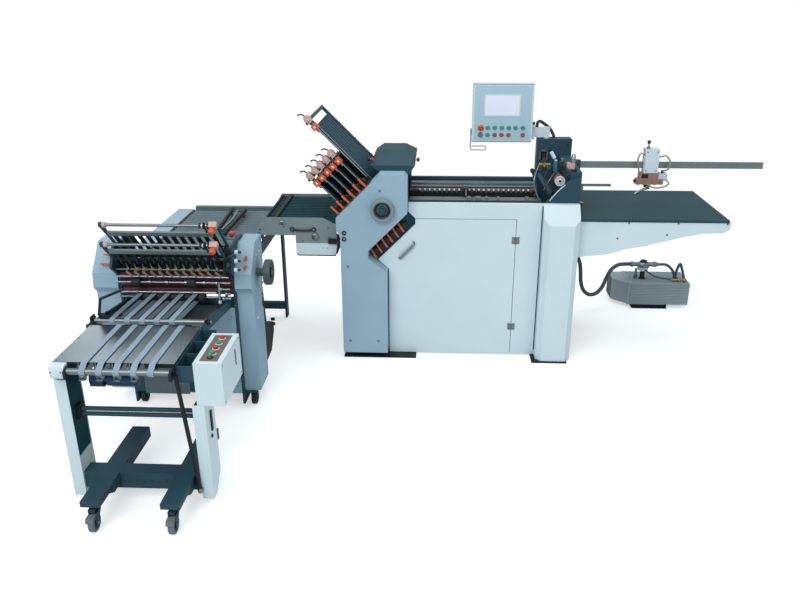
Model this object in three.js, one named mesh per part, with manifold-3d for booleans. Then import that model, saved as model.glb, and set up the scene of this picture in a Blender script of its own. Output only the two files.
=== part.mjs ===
// Floor-standing combination folding machine: suction feeder, register bed, six-plate fold unit,
// transfer conveyor, right-angle fold unit and delivery stacker. Millimetres, +Z up.
// Working datum: X = 0 at the left edge of the corner column, Y = 0 at the front of the door,
// Z = 0 at the floor. The whole machine is moved at the end to stand centred on its own origin.
import * as THREE from "three";
import { mergeVertices } from "three/addons/utils/BufferGeometryUtils.js";
import { ConvexGeometry } from "three/addons/geometries/ConvexGeometry.js";
import Module from "manifold-3d";

const wasm = await Module();
wasm.setup();

// Fits and stock
const fit = 0.3;
const overrun = 5;
const sheet = 3;
const framePlate = 12;
const roundSides = 24;
const fineSides = 12;

// Heights of the main unit
const footHeight = 10;
const plinthHeight = 72;
const panelTop = 900;
const bedLevel = 880;
const coverSkirt = 40;
const panelSkirt = 11;
const headTop = 1050;

// Depths of the main unit
const panelDepth = 29.7;
const doorDepth = 20;
const coverDepth = 110;
const paperBay = 470;
const rearCoverDepth = 110;
const rearFootInset = 4;
const leftFootSetback = 19;
const rightFootProud = 6;

// Lengths of the main unit
const columnWidth = 193;
const panelLength = 726;
const fixedPanelWidth = 139;
const hingeGap = 3;
const doorOverhang = 108;
const footLengthLeft = 415;
const footLengthRight = 197;
const rightFootInset = 18;
const baseInset = 4;

// Fold cover outline
const coverFootWidth = 253;
const coverNeckDrop = 106;
const coverShoulderHeight = 833;
const coverTop = 1070;
const coverTopWidth = 147;
const coverCorner = 18;
const coverLip = 59;
const slotBottomHeight = 608;
const slotSideHeight = 651;
const slotTopHeight = 864;
const notchHeight = 527;
const doorEarHeight = 577;
const doorNotchHeight = 523;
const doorClear = 6;
const doorTop = 813;
const slotRightHeight = 782;
const slotReach = 38;
const doorBarrel = 4.5;
const doorBarrelSetback = 5;
const doorLeaf = 20;
const doorLeafGap = 5.5;
const doorLeafThick = 3;
const doorHinge = 40;
const lowerHingeHeight = 165;
const upperHingeHeight = 678;

// Corner column and base
const columnDepth = 90;
const columnChamfer = 30;
const columnSlopeDrop = 95;

// Fold plates and rollers
const plateCount = 6;
const platePitch = 42.6;
const plateStart = 44;
const plateThick = 9;
const shortPlate = 212;
const longPlate = 458;
const longPlateSheet = 396;
const plateInside = 92;
const plateRail = 10;
const plateBarSize = 14;
const counterSize = 34;
const counterReach = 196;
const longCounterReach = 406;
const gearboxLength = 52;
const gearboxGap = 14;
const meterDepth = 40;
const lowerPlateLength = 250;
const lowerPlateStart = 96;
const rollerLine = 141;
const rollerCount = 3;
const rollerPitch = 62;
const rollerStart = 215;
const rollerNip = 0.6;
const journalRadius = 12;
const shaftReach = 150;
const shaftHoleClear = 8;
const handwheelRadius = 63;
const handwheelWidth = 34;
const handwheelRim = 14;
const handwheelHub = 27;
const handwheelWeb = 9;
const handwheelGap = 3;

// Sound hood over the rollers
const hoodWidth = 240;
const hoodFootWidth = 146;
const hoodTopWidth = 125;
const hoodHeight = 115;
const hoodEdge = 48;
const hoodFrontSlope = 96;
const hoodTopDepth = 190;
const hoodInset = 34;
const hoodFootInset = 4;
const hoodEarOffset = 49;
const hoodEarWidth = 75;
const hoodEarRise = 8;

// Register bed
const bedPlate = 12;
const bedRailWidths = [70, 22, 34, 30];
const bedRailHeights = [26, 44, 34, 58];
const bedRailStartShares = [0.03, 0.362, 0.617, 0.904];

// Feeder head
const headBlockLeft = 13;
const headBlockLength = 200;
const headBlockDepth = 86;
const headBlockTop = 1155;
const headBlockInset = 2;
const beamLeft = 138;
const beamWidth = 60;
const beamBottom = 1000;
const beamHeight = 66;
const bracketTop = 1040;
const bracketLengthShares = [0.02, 0.21, 0.4, 0.62, 0.75, 0.87];
const bracketHeightShares = [0.16, 0.4, 0.64, 0.87, 0.96, 1];
const feedWheelRadius = 29;
const feedWheelWidth = 50;
const feedWheelX = 91;
const feedWheelZ = 1007;
const feedWheelFront = 84;
const feedAxleRadius = 7;
const feedArmHeight = 30;
const feedArmThick = 14;

// Feed table
const tableLength = 800;
const tableDepth = 655;
const tableTop = 820;
const tableThick = 14;
const endPlateThick = 10;
const endPlateBottom = 450;
const bracketPlate = 12;
const bracketRoot = 601;
const bracketOver = 11;
const kneeLengthShares = [0.228, 0.32, 0.459, 0.686, 0.823, 0.952, 0.989];
const kneeHeightShares = [0.112, 0.239, 0.346, 0.59, 0.698, 0.722, 0.795];
const bracketEndDrop = 20;
const crossBar = 40;

// Suction rail and head
const railY = 330;
const railThick = 12;
const railHeight = 36;
const railBottom = 1030;
const railLength = 1051;
const headX = 586;
const headWidth = 76;
const headDepth = 58;
const headTall = 133;
const headLow = 1010;
const headRailClear = 0.5;
const headBackWall = 11;
const manifoldWidth = 152;
const manifoldDepth = 44;
const manifoldHeight = 74;
const nozzleRadius = 9;
const nozzleLength = 24;
const leverOffset = 22;
const leverLength = 22;
const leverRadius = 4;
const leverKnob = 10;
const leverPost = 10;
const leverBall = 6;

// Control panel and arm
const armPivotX = 65;
const armPivotBack = 43;
const armPostRadius = 18;
const armPostHeight = 6;
const armHeight = 58;
const armThick = 30;
const armLength = 79;
const armNose = 20;
const panelPinRadius = 7;
const screenWidth = 348;
const screenHeight = 332;
const screenDepth = 50;
const screenBottom = 1141;
const screenSetback = 5;
const screenGap = 3;
const screenLug = 20;
const stopButtonRadius = 16;
const stopButtonHeight = 16;
const stopStem = 8;
const stopTravel = 4;
const stemClear = 0.6;
const stemDepth = 8;
const stopInsetX = 50;
const stopRise = 84;
const conduitRadius = 9;
const conduitSteps = 20;
const conduitX = 8;
const conduitPoints = [
  [12, 565, 1243],
  [30, 588, 1247],
  [54, 603, 1232],
  [88, 594, 1206],
];
const conduitEndX = 112;
const conduitEndY = 578;

// Vacuum pump and its hose
const pumpX = 708;
const pumpY = 760;
const pumpLength = 397;
const pumpDepth = 240;
const pumpHeight = 172;
const pumpNose = 98;
const pumpNoseDepth = 90;
const pumpFoot = 16;
const pumpBaseLength = 230;
const pumpBaseInset = 24;
const pumpBaseProud = 18;
const pumpBaseDepth = 200;
const filterRadius = 30;
const filterRise = 98;
const filterX = 100;
const filterY = 100;
const portRadius = 20;
const portLength = 164;
const hoseRadius = 12.5;
const hoseSides = 8;
const hoseSteps = 44;
const hoseStartY = 620;
const hoseStartZ = 470;
const hosePoints = [
  [262, 626, 455],
  [315, 636, 410],
  [345, 646, 350],
  [358, 655, 285],
  [366, 664, 220],
  [388, 676, 155],
  [430, 694, 114],
  [480, 716, 112],
  [522, 738, 148],
  [548, 754, 205],
  [578, 776, 255],
  [628, 808, 280],
  [680, 840, 276],
];

// Transfer conveyor
const transferLength = 438;
const transferGap = 8;
const transferDepth = 534;
const transferTop = 812;
const transferBed = 797;
const transferBedThick = 20;
const transferBottom = 706;
const transferFoot = 712;
const transferTab = 229;
const transferTabDrop = 38;
const transferNose = 37;
const transferNoseDrop = 60;
const transferPlate = 6;
const transferShoulder = 36;
const transferRamp = 74;
const memberRise = 12;
const saddleDepth = 12;
const driveBoxHeight = 68;
const driveBoxDepth = 180;
const driveBoxLength = 228;

// Right-angle unit
const crossRight = 1528;
const crossBay = 540;
const crossFront = 655;
const crossHeadRear = 440;
const crossHeadTop = 860;
const crossHeadFront = 677;
const crossHeadNose = 735;
const crossNoseHeight = 772;
const crossNeckHeight = 705;
const crossHeadChamfer = 20;
const crossFloor = 20;
const crossRear = 552;
const crossLegDepth = 60;
const crossRailDrop = 60;
const crossPanelBack = 250;
const crossTieHeight = 45;
const crossTieDepth = 30;
const upperTieHeight = 120;
const outfeedTieInset = 10;
const registerTop = 700;
const registerThick = 20;
const registerOver = 80;
const registerInset = 24;
const coverSideWidth = 80;
const coverSideWidthLeft = 123;
const sideCoverBottom = 88;
const sideCoverFront = 636;
const sideCoverLip = 615;
const sideCoverNose = 667;
const sideCoverLipRise = 33;
const sideCoverBrow = 655;
const sideCoverBand = 70;
const sideCoverCrown = 540;
const sideCoverTop = 843;
const sideCoverBack = 400;
const sideCoverBackLow = 690;
const sideCoverWaist = 480;
const sideCoverWaistHeight = 495;
const sideCoverRear = 455;
const sideCoverHip = 465;
const crossAxisY = 535;
const crossAxisZ = 690;
const crossRollerRadius = 26;
const crossShaftReach = 168;
const crossWheelRadius = 36;
const crossWheelWidth = 25;
const crossWheelInset = 40;
const crossWheelAxle = 6;
const crossWheelY = 610;
const wheelCheek = 4;
const wheelBoss = 12;
const crossPlateLengths = [262, 322];
const crossSheetShare = 0.8;
const frontPlateY = 625;
const frontPlateZ = 727;
const rearPlateY = 568;
const rearPlateZ = 772;
const crossPlateThick = 8;
const crossPlateRod = 8;
const crossMeter = 40;

// Outfeed arms on the right-angle unit
const outfeedLow = 545;
const outfeedRoot = 585;
const outfeedTipLow = 608;
const outfeedTip = 645;
const outfeedPlate = 10;
const outfeedInset = 16;
const outfeedSheet = 6;
const outfeedSheetDrop = 24;
const outfeedSheetShare = 0.74;

// Stacker
const beamInsetLeft = 157;
const beamInsetRight = 112;
const beamSize = 78;
const beamFront = 1640;
const beamRear = 1084;
const beamTop = 139;
const beamDeep = 50;
const beamTip = 24;
const tipLength = 90;
const tipRamp = 135;
const crossBeamFront = 1439;
const crossBeamDepth = 67;
const crossBeamHeight = 75;
const glideRadius = 20;
const glideSetback = 40;
const columnOuterLeft = 2052;
const columnOuterRight = 1468;
const columnSection = 48;
const columnDeep = 120;
const stackerFront = 1450;
const columnFoot = 30;
const columnCut = 70;
const boxBottom = 466;
const boxHeight = 184;
const boxWidth = 111;
const boxDepth = 280;
const boxOverhang = 84;
const tieRadius = 9;
const tieHeight = 385;
const tiePitch = 24;
const railLow = 568;
const trayTop = 652;
const trayThick = 12;
const trayRear = 1100;
const trayFront = 1460;
const trayWidth = 474;
const trayLeft = 2036;
const noseWidth = 57;
const noseProud = 2;
const noseRear = 1443;
const noseFront = 1495;
const noseLow = 590;
const noseHigh = 650;
const noseRound = 14;
const armReach = 48;
const armTall = 40;
const apronWidth = 180;
const apronDrop = 190;
const apronThick = 10;
const deliveryRadius = 13;
const deliveryAxle = 7;
const motorLength = 195;
const motorRadius = 32;
const motorHang = 124;
const motorNeck = 40;
const motorOffset = 76;
const casterRadius = 37.5;
const casterWidth = 24;
const casterTrail = 27;
const casterInset = 38;
const casterAxle = 6;
const casterBoss = 12;
const casterCheek = 4;
const casterClear = 3;
const casterPlateRadius = 24;
const casterPlate = 9;
const keyRadius = 11;
const keyHeight = 12;
const keyStem = 6;
const keyTravel = 3;
const keyShares = [0.47, 0.305];

// Colours and finishes
const finish = (color, roughness, metalness) =>
  new THREE.MeshStandardMaterial({ color, roughness, metalness });
const white = () => finish(0xd9e6ec, 0.45, 0.1);
const blueGrey = () => finish(0x93adc2, 0.5, 0.1);
const slate = () => finish(0x34464d, 0.6, 0.2);
const steel = () => finish(0xb9bfc1, 0.35, 0.9);
const black = () => finish(0x16191b, 0.6, 0.1);
const blue = () => finish(0x16386b, 0.5, 0.2);
const red = () => finish(0xc9342f, 0.45, 0.0);
const rubber = () => finish(0x6f767a, 0.8, 0.0);

const tau = Math.PI * 2;
const diagonal = Math.SQRT1_2;

// Solids from three.js geometry
function outlineShape(points, holes = []) {
  const shape = new THREE.Shape(points.map(([a, b]) => new THREE.Vector2(a, b)));
  for (const hole of holes) {
    const path = new THREE.Path();
    path.absarc(hole.x, hole.y, hole.radius, 0, tau, true);
    shape.holes.push(path);
  }
  return shape;
}

function bar(x0, x1, y0, y1, z0, z1) {
  const geometry = new THREE.BoxGeometry(x1 - x0, y1 - y0, z1 - z0);
  geometry.translate((x0 + x1) / 2, (y0 + y1) / 2, (z0 + z1) / 2);
  return geometry;
}

function extrude(points, depth, holes = [], sides = fineSides) {
  const options = { depth, bevelEnabled: false, curveSegments: sides };
  return new THREE.ExtrudeGeometry(outlineShape(points, holes), options);
}

// Outline drawn in X and Z, thickness along Y from y0 to y1
function plateXZ(points, y0, y1, holes = []) {
  const geometry = extrude(points, y1 - y0, holes);
  geometry.rotateX(Math.PI / 2);
  geometry.translate(0, y1, 0);
  return geometry;
}

// Outline drawn in Y and Z, thickness along X from x0 to x1
function plateYZ(points, x0, x1, holes = []) {
  const geometry = extrude(points, x1 - x0, holes);
  geometry.rotateY(Math.PI / 2);
  geometry.rotateX(Math.PI / 2);
  geometry.translate(x0, 0, 0);
  return geometry;
}

// Outline drawn in X and Y, height from z0 to z1
function plateXY(points, z0, z1) {
  const geometry = extrude(points, z1 - z0);
  geometry.translate(0, 0, z0);
  return geometry;
}

function rod(axis, radius, from, to, a, b, sides = roundSides) {
  const geometry = new THREE.CylinderGeometry(radius, radius, to - from, sides);
  const middle = (from + to) / 2;
  if (axis === "x") {
    geometry.rotateZ(Math.PI / 2);
    geometry.translate(middle, a, b);
  } else if (axis === "y") {
    geometry.translate(a, middle, b);
  } else {
    geometry.rotateX(Math.PI / 2);
    geometry.translate(a, b, middle);
  }
  return geometry;
}

function sphere(radius, x, y, z) {
  const geometry = new THREE.SphereGeometry(radius, fineSides, fineSides / 2);
  geometry.translate(x, y, z);
  return geometry;
}

// Turned ring or wheel: profile of [radius, along] pairs, closed on itself, about local Y
function turned(profile, sides = roundSides) {
  const points = profile.map(([radius, along]) => new THREE.Vector2(radius, along));
  points.push(points[0].clone());
  return new THREE.LatheGeometry(points, sides);
}

// Manifold joins and cuts
function toManifold(geometry) {
  const bare = geometry.clone();
  bare.deleteAttribute("normal");
  bare.deleteAttribute("uv");
  const merged = mergeVertices(bare);
  const vertProperties = new Float32Array(merged.attributes.position.array);
  const triVerts = new Uint32Array(merged.index.array);
  return new wasm.Manifold(new wasm.Mesh({ numProp: 3, vertProperties, triVerts }));
}

function toGeometry(manifold) {
  const mesh = manifold.getMesh();
  const geometry = new THREE.BufferGeometry();
  geometry.setAttribute("position", new THREE.BufferAttribute(new Float32Array(mesh.vertProperties), 3));
  geometry.setIndex(new THREE.BufferAttribute(new Uint32Array(mesh.triVerts), 1));
  return geometry;
}

function join(first, ...others) {
  const solid = others.reduce((sum, other) => sum.add(toManifold(other)), toManifold(first));
  return toGeometry(solid);
}

function cut(first, ...tools) {
  const solid = tools.reduce((sum, tool) => sum.subtract(toManifold(tool)), toManifold(first));
  return toGeometry(solid);
}

// Outline moved inwards by an equal wall on every side
function inset(points, wall) {
  const count = points.length;
  const area = points.reduce((sum, [a, b], i) => {
    const [c, d] = points[(i + 1) % count];
    return sum + a * d - b * c;
  }, 0);
  const turn = Math.sign(area);
  const edges = points.map(([a, b], i) => {
    const [c, d] = points[(i + 1) % count];
    const length = Math.hypot(c - a, d - b);
    const normal = [(-(d - b) / length) * turn, ((c - a) / length) * turn];
    return { a: a + normal[0] * wall, b: b + normal[1] * wall, da: c - a, db: d - b };
  });
  return edges.map((edge, i) => {
    const last = edges[(i + count - 1) % count];
    const cross = last.da * edge.db - last.db * edge.da;
    const along = ((edge.a - last.a) * edge.db - (edge.b - last.b) * edge.da) / cross;
    return [last.a + last.da * along, last.b + last.db * along];
  });
}

// Sheet-metal pan open at its back
function panXZ(points, y0, y1, wall, openAtHighY = true) {
  const hollow = inset(points, wall);
  const from = openAtHighY ? y0 + wall : y0 - overrun;
  const to = openAtHighY ? y1 + overrun : y1 - wall;
  return cut(plateXZ(points, y0, y1), plateXZ(hollow, from, to));
}

const machine = new THREE.Group();

function piece(name, geometry, material, pivot = [0, 0, 0], carrier = machine) {
  geometry.translate(-pivot[0], -pivot[1], -pivot[2]);
  const mesh = new THREE.Mesh(geometry, material);
  mesh.name = name;
  mesh.position.set(...pivot);
  carrier.add(mesh);
  return mesh;
}

// Shared places
const frameFront = panelDepth + fit;
const bayFront = frameFront + framePlate;
const bayRear = bayFront + paperBay;
const frameRear = bayRear + framePlate;
const plinthTop = footHeight + plinthHeight;
const coverFront = panelDepth - coverDepth;
const coverRight = -panelLength - hingeGap;
const doorRight = -fixedPanelWidth - hingeGap / 2;
const doorLeft = -panelLength - doorOverhang;
const coverFootRight = doorLeft - doorClear;
const coverLeft = coverFootRight - coverFootWidth;
const slotRightX = -panelLength + slotReach;
const slotLeftX = coverRight - (slotTopHeight - slotSideHeight);
const coverTopLeft = coverRight - coverTopWidth;
const shoulderX = coverTopLeft - (coverTop - coverShoulderHeight);
const doorEarX = slotRightX - (slotRightHeight - doorEarHeight);
const baseLeft = coverLeft + baseInset;
const baseRight = columnWidth - baseInset;
const frameLeft = coverLeft + baseInset;
const frameHeadRight = coverRight - baseInset;
const frameHeadLeft = coverTopLeft - (coverTop - headTop) + baseInset;
const frameShoulder = coverShoulderHeight + (frameLeft - shoulderX - baseInset);
const frameBottom = plinthTop + fit;

// Base plinth with its two foot plates
function buildBase() {
  const rear = frameRear + rearCoverDepth - rearFootInset;
  const rightEnd = columnWidth - rightFootInset;
  const plinth = bar(baseLeft, baseRight, frameFront, frameRear, footHeight - fit, plinthTop);
  const foot = (left, right, front) => bar(left, right, front, rear, 0, footHeight);
  const leftFoot = foot(coverLeft, coverLeft + footLengthLeft, coverFront + leftFootSetback);
  const rightFoot = foot(rightEnd - footLengthRight, rightEnd, -columnDepth - rightFootProud);
  piece("main_base", join(plinth, leftFoot, rightFoot), black());
}

// Places of the fold rollers along the 45 degree head, counted down from the handwheel shaft
function rollerPlace(index) {
  const along = rollerStart - index * rollerPitch;
  return {
    x: shoulderX + (along + rollerLine) * diagonal,
    z: coverShoulderHeight + (along - rollerLine) * diagonal,
  };
}

const rollerPlaces = Array.from({ length: rollerCount }, (_, i) => rollerPlace(i));

function frameOutline() {
  return [
    [frameLeft, frameBottom],
    [columnWidth, frameBottom],
    [columnWidth, bedLevel],
    [frameHeadRight, bedLevel],
    [frameHeadRight, headTop],
    [frameHeadLeft, headTop],
    [frameLeft, frameShoulder],
  ];
}

function buildFrames() {
  const holes = rollerPlaces.map(({ x, z }) => ({ x, y: z, radius: journalRadius + fit }));
  piece("front_side_frame", plateXZ(frameOutline(), frameFront, bayFront, holes), slate());
  const earRight = -panelLength - hoodEarOffset;
  const earTop = headTop + hoodEdge + hoodEarRise;
  const ear = bar(earRight - hoodEarWidth, earRight, bayRear, frameRear, headTop - overrun, earTop);
  piece("rear_side_frame", join(plateXZ(frameOutline(), bayRear, frameRear, holes), ear), slate());
}

// Fold rollers with journals in the two frames; the first carries the handwheel shaft
function buildRollers() {
  rollerPlaces.forEach(({ x, z }, i) => {
    const radius = (rollerPitch - rollerNip) / 2;
    const shaftFrom = i === 0 ? coverFront - shaftReach + coverDepth : frameFront;
    const body = rod("y", radius, bayFront + fit, bayRear - fit, x, z);
    const shaft = rod("y", journalRadius, shaftFrom, frameRear, x, z);
    piece(`fold_roller_${i + 1}`, join(body, shaft), steel(), [x, bayFront, z]);
  });
}

// Dished handwheel on the first roller's shaft
function buildMainHandwheel() {
  const { x, z } = rollerPlaces[0];
  const back = coverFront - handwheelGap;
  piece("main_handwheel", handwheel(), steel()).position.set(x, back, z);
}

// Handwheel about local Y, its back face at zero and its front towards -Y
function handwheel() {
  const bore = journalRadius + fit;
  return turned([
    [bore, -handwheelWidth],
    [handwheelHub, -handwheelWidth],
    [handwheelHub, -handwheelWeb],
    [handwheelRadius - handwheelRim, -handwheelWeb],
    [handwheelRadius - handwheelRim, -handwheelWidth],
    [handwheelRadius, -handwheelWidth],
    [handwheelRadius, 0],
    [bore, 0],
  ]);
}

// Grey cover of the fold unit, with its own outline of slot and shoulders
function foldCoverOutline() {
  return [
    [coverLeft, coverSkirt],
    [coverFootRight, coverSkirt],
    [coverFootRight, notchHeight],
    [slotLeftX, slotBottomHeight],
    [slotLeftX, slotSideHeight],
    [coverRight, slotTopHeight],
    [coverRight, coverTop - coverCorner],
    [coverRight - coverCorner, coverTop],
    [coverTopLeft, coverTop],
    [shoulderX, coverShoulderHeight],
    [shoulderX, coverShoulderHeight - coverLip],
    [coverLeft, coverShoulderHeight - coverNeckDrop],
  ];
}

function buildFoldCovers() {
  const { x, z } = rollerPlaces[0];
  const shell = panXZ(foldCoverOutline(), coverFront, panelDepth, sheet);
  const bore = journalRadius + shaftHoleClear;
  const shaftHole = rod("y", bore, coverFront - overrun, coverFront + coverDepth / 2, x, z);
  piece("fold_cover_front", cut(shell, shaftHole), blueGrey());
  const back = [
    [coverLeft, coverSkirt],
    [columnWidth, coverSkirt],
    [columnWidth, bedLevel],
    [coverRight, bedLevel],
    [coverRight, coverTop],
    [coverTopLeft, coverTop],
    [shoulderX, coverShoulderHeight],
    [coverLeft, coverShoulderHeight - coverNeckDrop],
  ];
  const y0 = frameRear + fit;
  piece("rear_cover", panXZ(back, y0, y0 + rearCoverDepth, sheet, false), blueGrey());
}

// White front: fixed panel with its top strip, and the service door on a vertical hinge
function buildFront() {
  const outline = [
    [-panelLength, panelTop],
    [-fit, panelTop],
    [-fit, panelSkirt],
    [-fixedPanelWidth + hingeGap / 2, panelSkirt],
    [-fixedPanelWidth + hingeGap / 2, doorTop + hingeGap],
    [slotRightX, doorTop + hingeGap],
    [-panelLength, doorTop + hingeGap + slotReach],
  ];
  const half = doorHinge / 2;
  const pinX = -fixedPanelWidth;
  const leaf = (x0, x1, z, high) => bar(x0, x1, -doorLeafThick, fit, z, z + high - fit);
  const barrel = (z) => rod("z", doorBarrel, z, z + half - fit, pinX, -doorBarrelSetback, fineSides);
  const hinges = [lowerHingeHeight, upperHingeHeight];
  const fixed = hinges.flatMap((z) => [
    leaf(pinX + doorLeafGap, pinX + doorLeaf, z, doorHinge),
    leaf(pinX, pinX + doorLeaf, z, half),
    barrel(z),
  ]);
  const swung = hinges.flatMap((z) => [
    leaf(pinX - doorLeaf, pinX - doorLeafGap, z, doorHinge),
    leaf(pinX - doorLeaf, pinX, z + half, half),
    barrel(z + half),
  ]);
  piece("front_panel", join(panXZ(outline, 0, panelDepth, sheet), ...fixed), white());
  const door = [
    [doorRight, doorTop],
    [slotRightX, doorTop],
    [slotRightX, slotRightHeight],
    [doorEarX, doorEarHeight],
    [doorLeft, doorNotchHeight],
    [doorLeft, panelSkirt],
    [doorRight, panelSkirt],
  ];
  const pivot = [pinX, -doorBarrelSetback, panelSkirt];
  piece("service_door", join(panXZ(door, 0, doorDepth, sheet), ...swung), white(), pivot);
}

// Corner column: chamfered plan, sloping shoulder at the top
function buildColumn() {
  const plan = [
    [fit, panelDepth],
    [fit, columnChamfer - columnDepth],
    [columnChamfer, -columnDepth],
    [columnWidth - columnChamfer, -columnDepth],
    [columnWidth, columnChamfer - columnDepth],
    [columnWidth, panelDepth],
  ];
  const body = plateXY(plan, footHeight + fit, panelTop);
  const slope = [
    [-columnDepth - overrun, panelTop - columnSlopeDrop * (1 + overrun / columnDepth)],
    [0, panelTop],
    [0, panelTop + overrun],
    [-columnDepth - overrun, panelTop + overrun],
  ];
  piece("corner_column", cut(body, plateYZ(slope, -overrun, columnWidth + overrun)), white());
}

// Upper buckle plates: local X runs out of the fold head at 45 degrees, local Y across the machine
function platePlace(index) {
  const along = plateStart + index * platePitch;
  return [shoulderX + along * diagonal, 0, coverShoulderHeight + along * diagonal];
}

function buckleSolid(sheetLength, railEnd, counterAt) {
  const y0 = bayFront + fit;
  const y1 = bayRear - fit;
  const half = plateThick / 2;
  const railHalf = plateBarSize / 2;
  const meterHalf = counterSize / 2;
  const meterY = y0 - meterDepth / 2;
  const counterEnd = counterAt + counterSize / 2;
  const gearFrom = counterEnd + gearboxGap;
  const gearTo = gearFrom + gearboxLength;
  const spindleEnd = gearTo + plateBarSize;
  return join(
    bar(-plateInside, sheetLength, y0, y1, -half, half),
    bar(-plateInside, railEnd, y0, y0 + plateRail, -railHalf, railHalf),
    bar(-plateInside, railEnd, y1 - plateRail, y1, -railHalf, railHalf),
    bar(railEnd - plateBarSize, railEnd, y0, y1, -railHalf, railHalf),
    bar(counterAt - meterHalf, counterEnd, y0 - meterDepth, y0 + plateRail / 2, -meterHalf, meterHalf),
    bar(gearFrom, gearTo, y0 - meterDepth, y0, -meterHalf, meterHalf),
    rod("x", plateRail / 2, counterAt, spindleEnd, meterY, 0, fineSides),
  );
}

function buildUpperPlates() {
  for (let i = 0; i < plateCount; i += 1) {
    const long = i === plateCount - 1;
    const solid = long
      ? buckleSolid(longPlateSheet, longPlate, longCounterReach)
      : buckleSolid(shortPlate - counterSize / 2, shortPlate, counterReach);
    const mesh = piece(`buckle_plate_${i + 1}`, solid, long ? slate() : black());
    mesh.position.set(...platePlace(i));
    mesh.rotation.y = -0.75 * Math.PI;
  }
}

// Lower buckle plates: one pack, sloping down and away under the rollers
function buildLowerPlates() {
  const y0 = bayFront + fit;
  const y1 = bayRear - fit;
  const half = plateThick / 2;
  const sheets = Array.from({ length: plateCount }, (_, i) => {
    const level = i * platePitch;
    return bar(0, lowerPlateLength, y0, y1, level - half, level + half);
  });
  const reach = (plateCount - 1) * platePitch;
  const ties = [y0, y1 - plateRail].map((y) => bar(0, plateBarSize, y, y + plateRail, 0, reach));
  const mesh = piece("lower_buckle_plates", join(...sheets, ...ties), black());
  const side = rollerLine + lowerPlateStart - plateInside / 2;
  const packX = shoulderX + (plateStart + side) * diagonal;
  mesh.position.set(packX, 0, coverShoulderHeight + (plateStart - side) * diagonal);
  mesh.rotation.y = Math.PI / 4;
}

// Faceted sound hood, hinged along the top of its rear wall
function buildHood() {
  const hoodRight = panelLength - hoodInset;
  const footRight = panelLength - hoodFootInset;
  const left = hoodRight + hoodWidth;
  const footLeft = footRight + hoodFootWidth;
  const middle = (left + hoodRight) / 2;
  const y0 = frameFront + fit;
  const y1 = bayRear - fit;
  const z0 = headTop + fit;
  const low = z0 + hoodEdge;
  const top = z0 + hoodHeight;
  const topLeft = middle + hoodTopWidth / 2;
  const topRight = middle - hoodTopWidth / 2;
  const ridgeFront = y0 + hoodFrontSlope;
  const ridgeRear = ridgeFront + hoodTopDepth;
  const level = (leftSide, rightSide, front, rear, z) =>
    [[-leftSide, front, z], [-rightSide, front, z], [-rightSide, rear, z], [-leftSide, rear, z]];
  const corners = [
    ...level(footLeft, footRight, y0, y1, z0),
    ...level(left, hoodRight, y0, y1, low),
    ...level(topLeft, topRight, ridgeFront, ridgeRear, top),
  ];
  const hollow = corners.map(([x, y, z]) => [
    x + (x < -middle ? sheet : -sheet),
    y + (y < (y0 + y1) / 2 ? sheet : -sheet),
    z === z0 ? z0 - overrun : z - sheet,
  ]);
  piece("sound_hood", cut(hullOf(corners), hullOf(hollow)), slate(), [-middle, y1, low]);
}

// Convex solid round a few corner points, as one closed geometry
function hullOf(points) {
  return new ConvexGeometry(points.map((point) => new THREE.Vector3(...point)));
}

// Register bed between the frames
function buildRegisterBed() {
  const x0 = frameHeadRight + fit;
  const x1 = -fit;
  const y0 = bayFront + fit;
  const y1 = bayRear - fit;
  const plate = bar(x0, x1, y0, y1, bedLevel - bedPlate, bedLevel);
  const rails = bedRailStartShares.map((share, i) => {
    const start = y0 + paperBay * share;
    return bar(x0, x1, start, start + bedRailWidths[i], bedLevel - fit, bedLevel - fit + bedRailHeights[i]);
  });
  piece("register_bed", join(plate, ...rails), steel());
}

// Feeder head: front bracket, rear block with its cross beam, and the forwarding wheel
const headFront = bayRear + headBlockInset;
const headRight = headBlockLeft + headBlockLength;

function buildFeederHead() {
  const low = bedLevel + fit;
  const bracketLength = columnWidth - headBlockLeft;
  const sweep = bracketLengthShares.map((share, i) =>
    [headBlockLeft + bracketLength * share, low + (bracketTop - low) * bracketHeightShares[i]]);
  const outline = [[headBlockLeft, low], ...sweep, [columnWidth, bracketTop], [columnWidth, low]];
  piece("feed_bracket_front", plateXZ(outline, frameFront, bayFront), slate());

  const block = bar(headBlockLeft, headRight, headFront, headFront + headBlockDepth, low, headBlockTop);
  const beamTop = beamBottom + beamHeight;
  const beam = bar(beamLeft, beamLeft + beamWidth, bayFront + fit, headFront + overrun, beamBottom, beamTop);
  const armY = feedWheelFront + feedWheelWidth + fit;
  const armZ = feedWheelZ - feedArmHeight / 2;
  const armLeft = feedWheelX - feedArmHeight / 2;
  const arm = bar(armLeft, beamLeft + overrun, armY, armY + feedArmThick, armZ, armZ + feedArmHeight);
  const axle = rod("y", feedAxleRadius, feedWheelFront, armY + overrun, feedWheelX, feedWheelZ, fineSides);
  piece("feed_head", join(block, beam, arm, axle), slate());

  const bore = feedAxleRadius + fit;
  const roller = turned([
    [bore, 0],
    [feedWheelRadius, 0],
    [feedWheelRadius, feedWheelWidth],
    [bore, feedWheelWidth],
  ]);
  piece("feed_wheel", roller, red()).position.set(feedWheelX, feedWheelFront, feedWheelZ);
}

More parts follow.
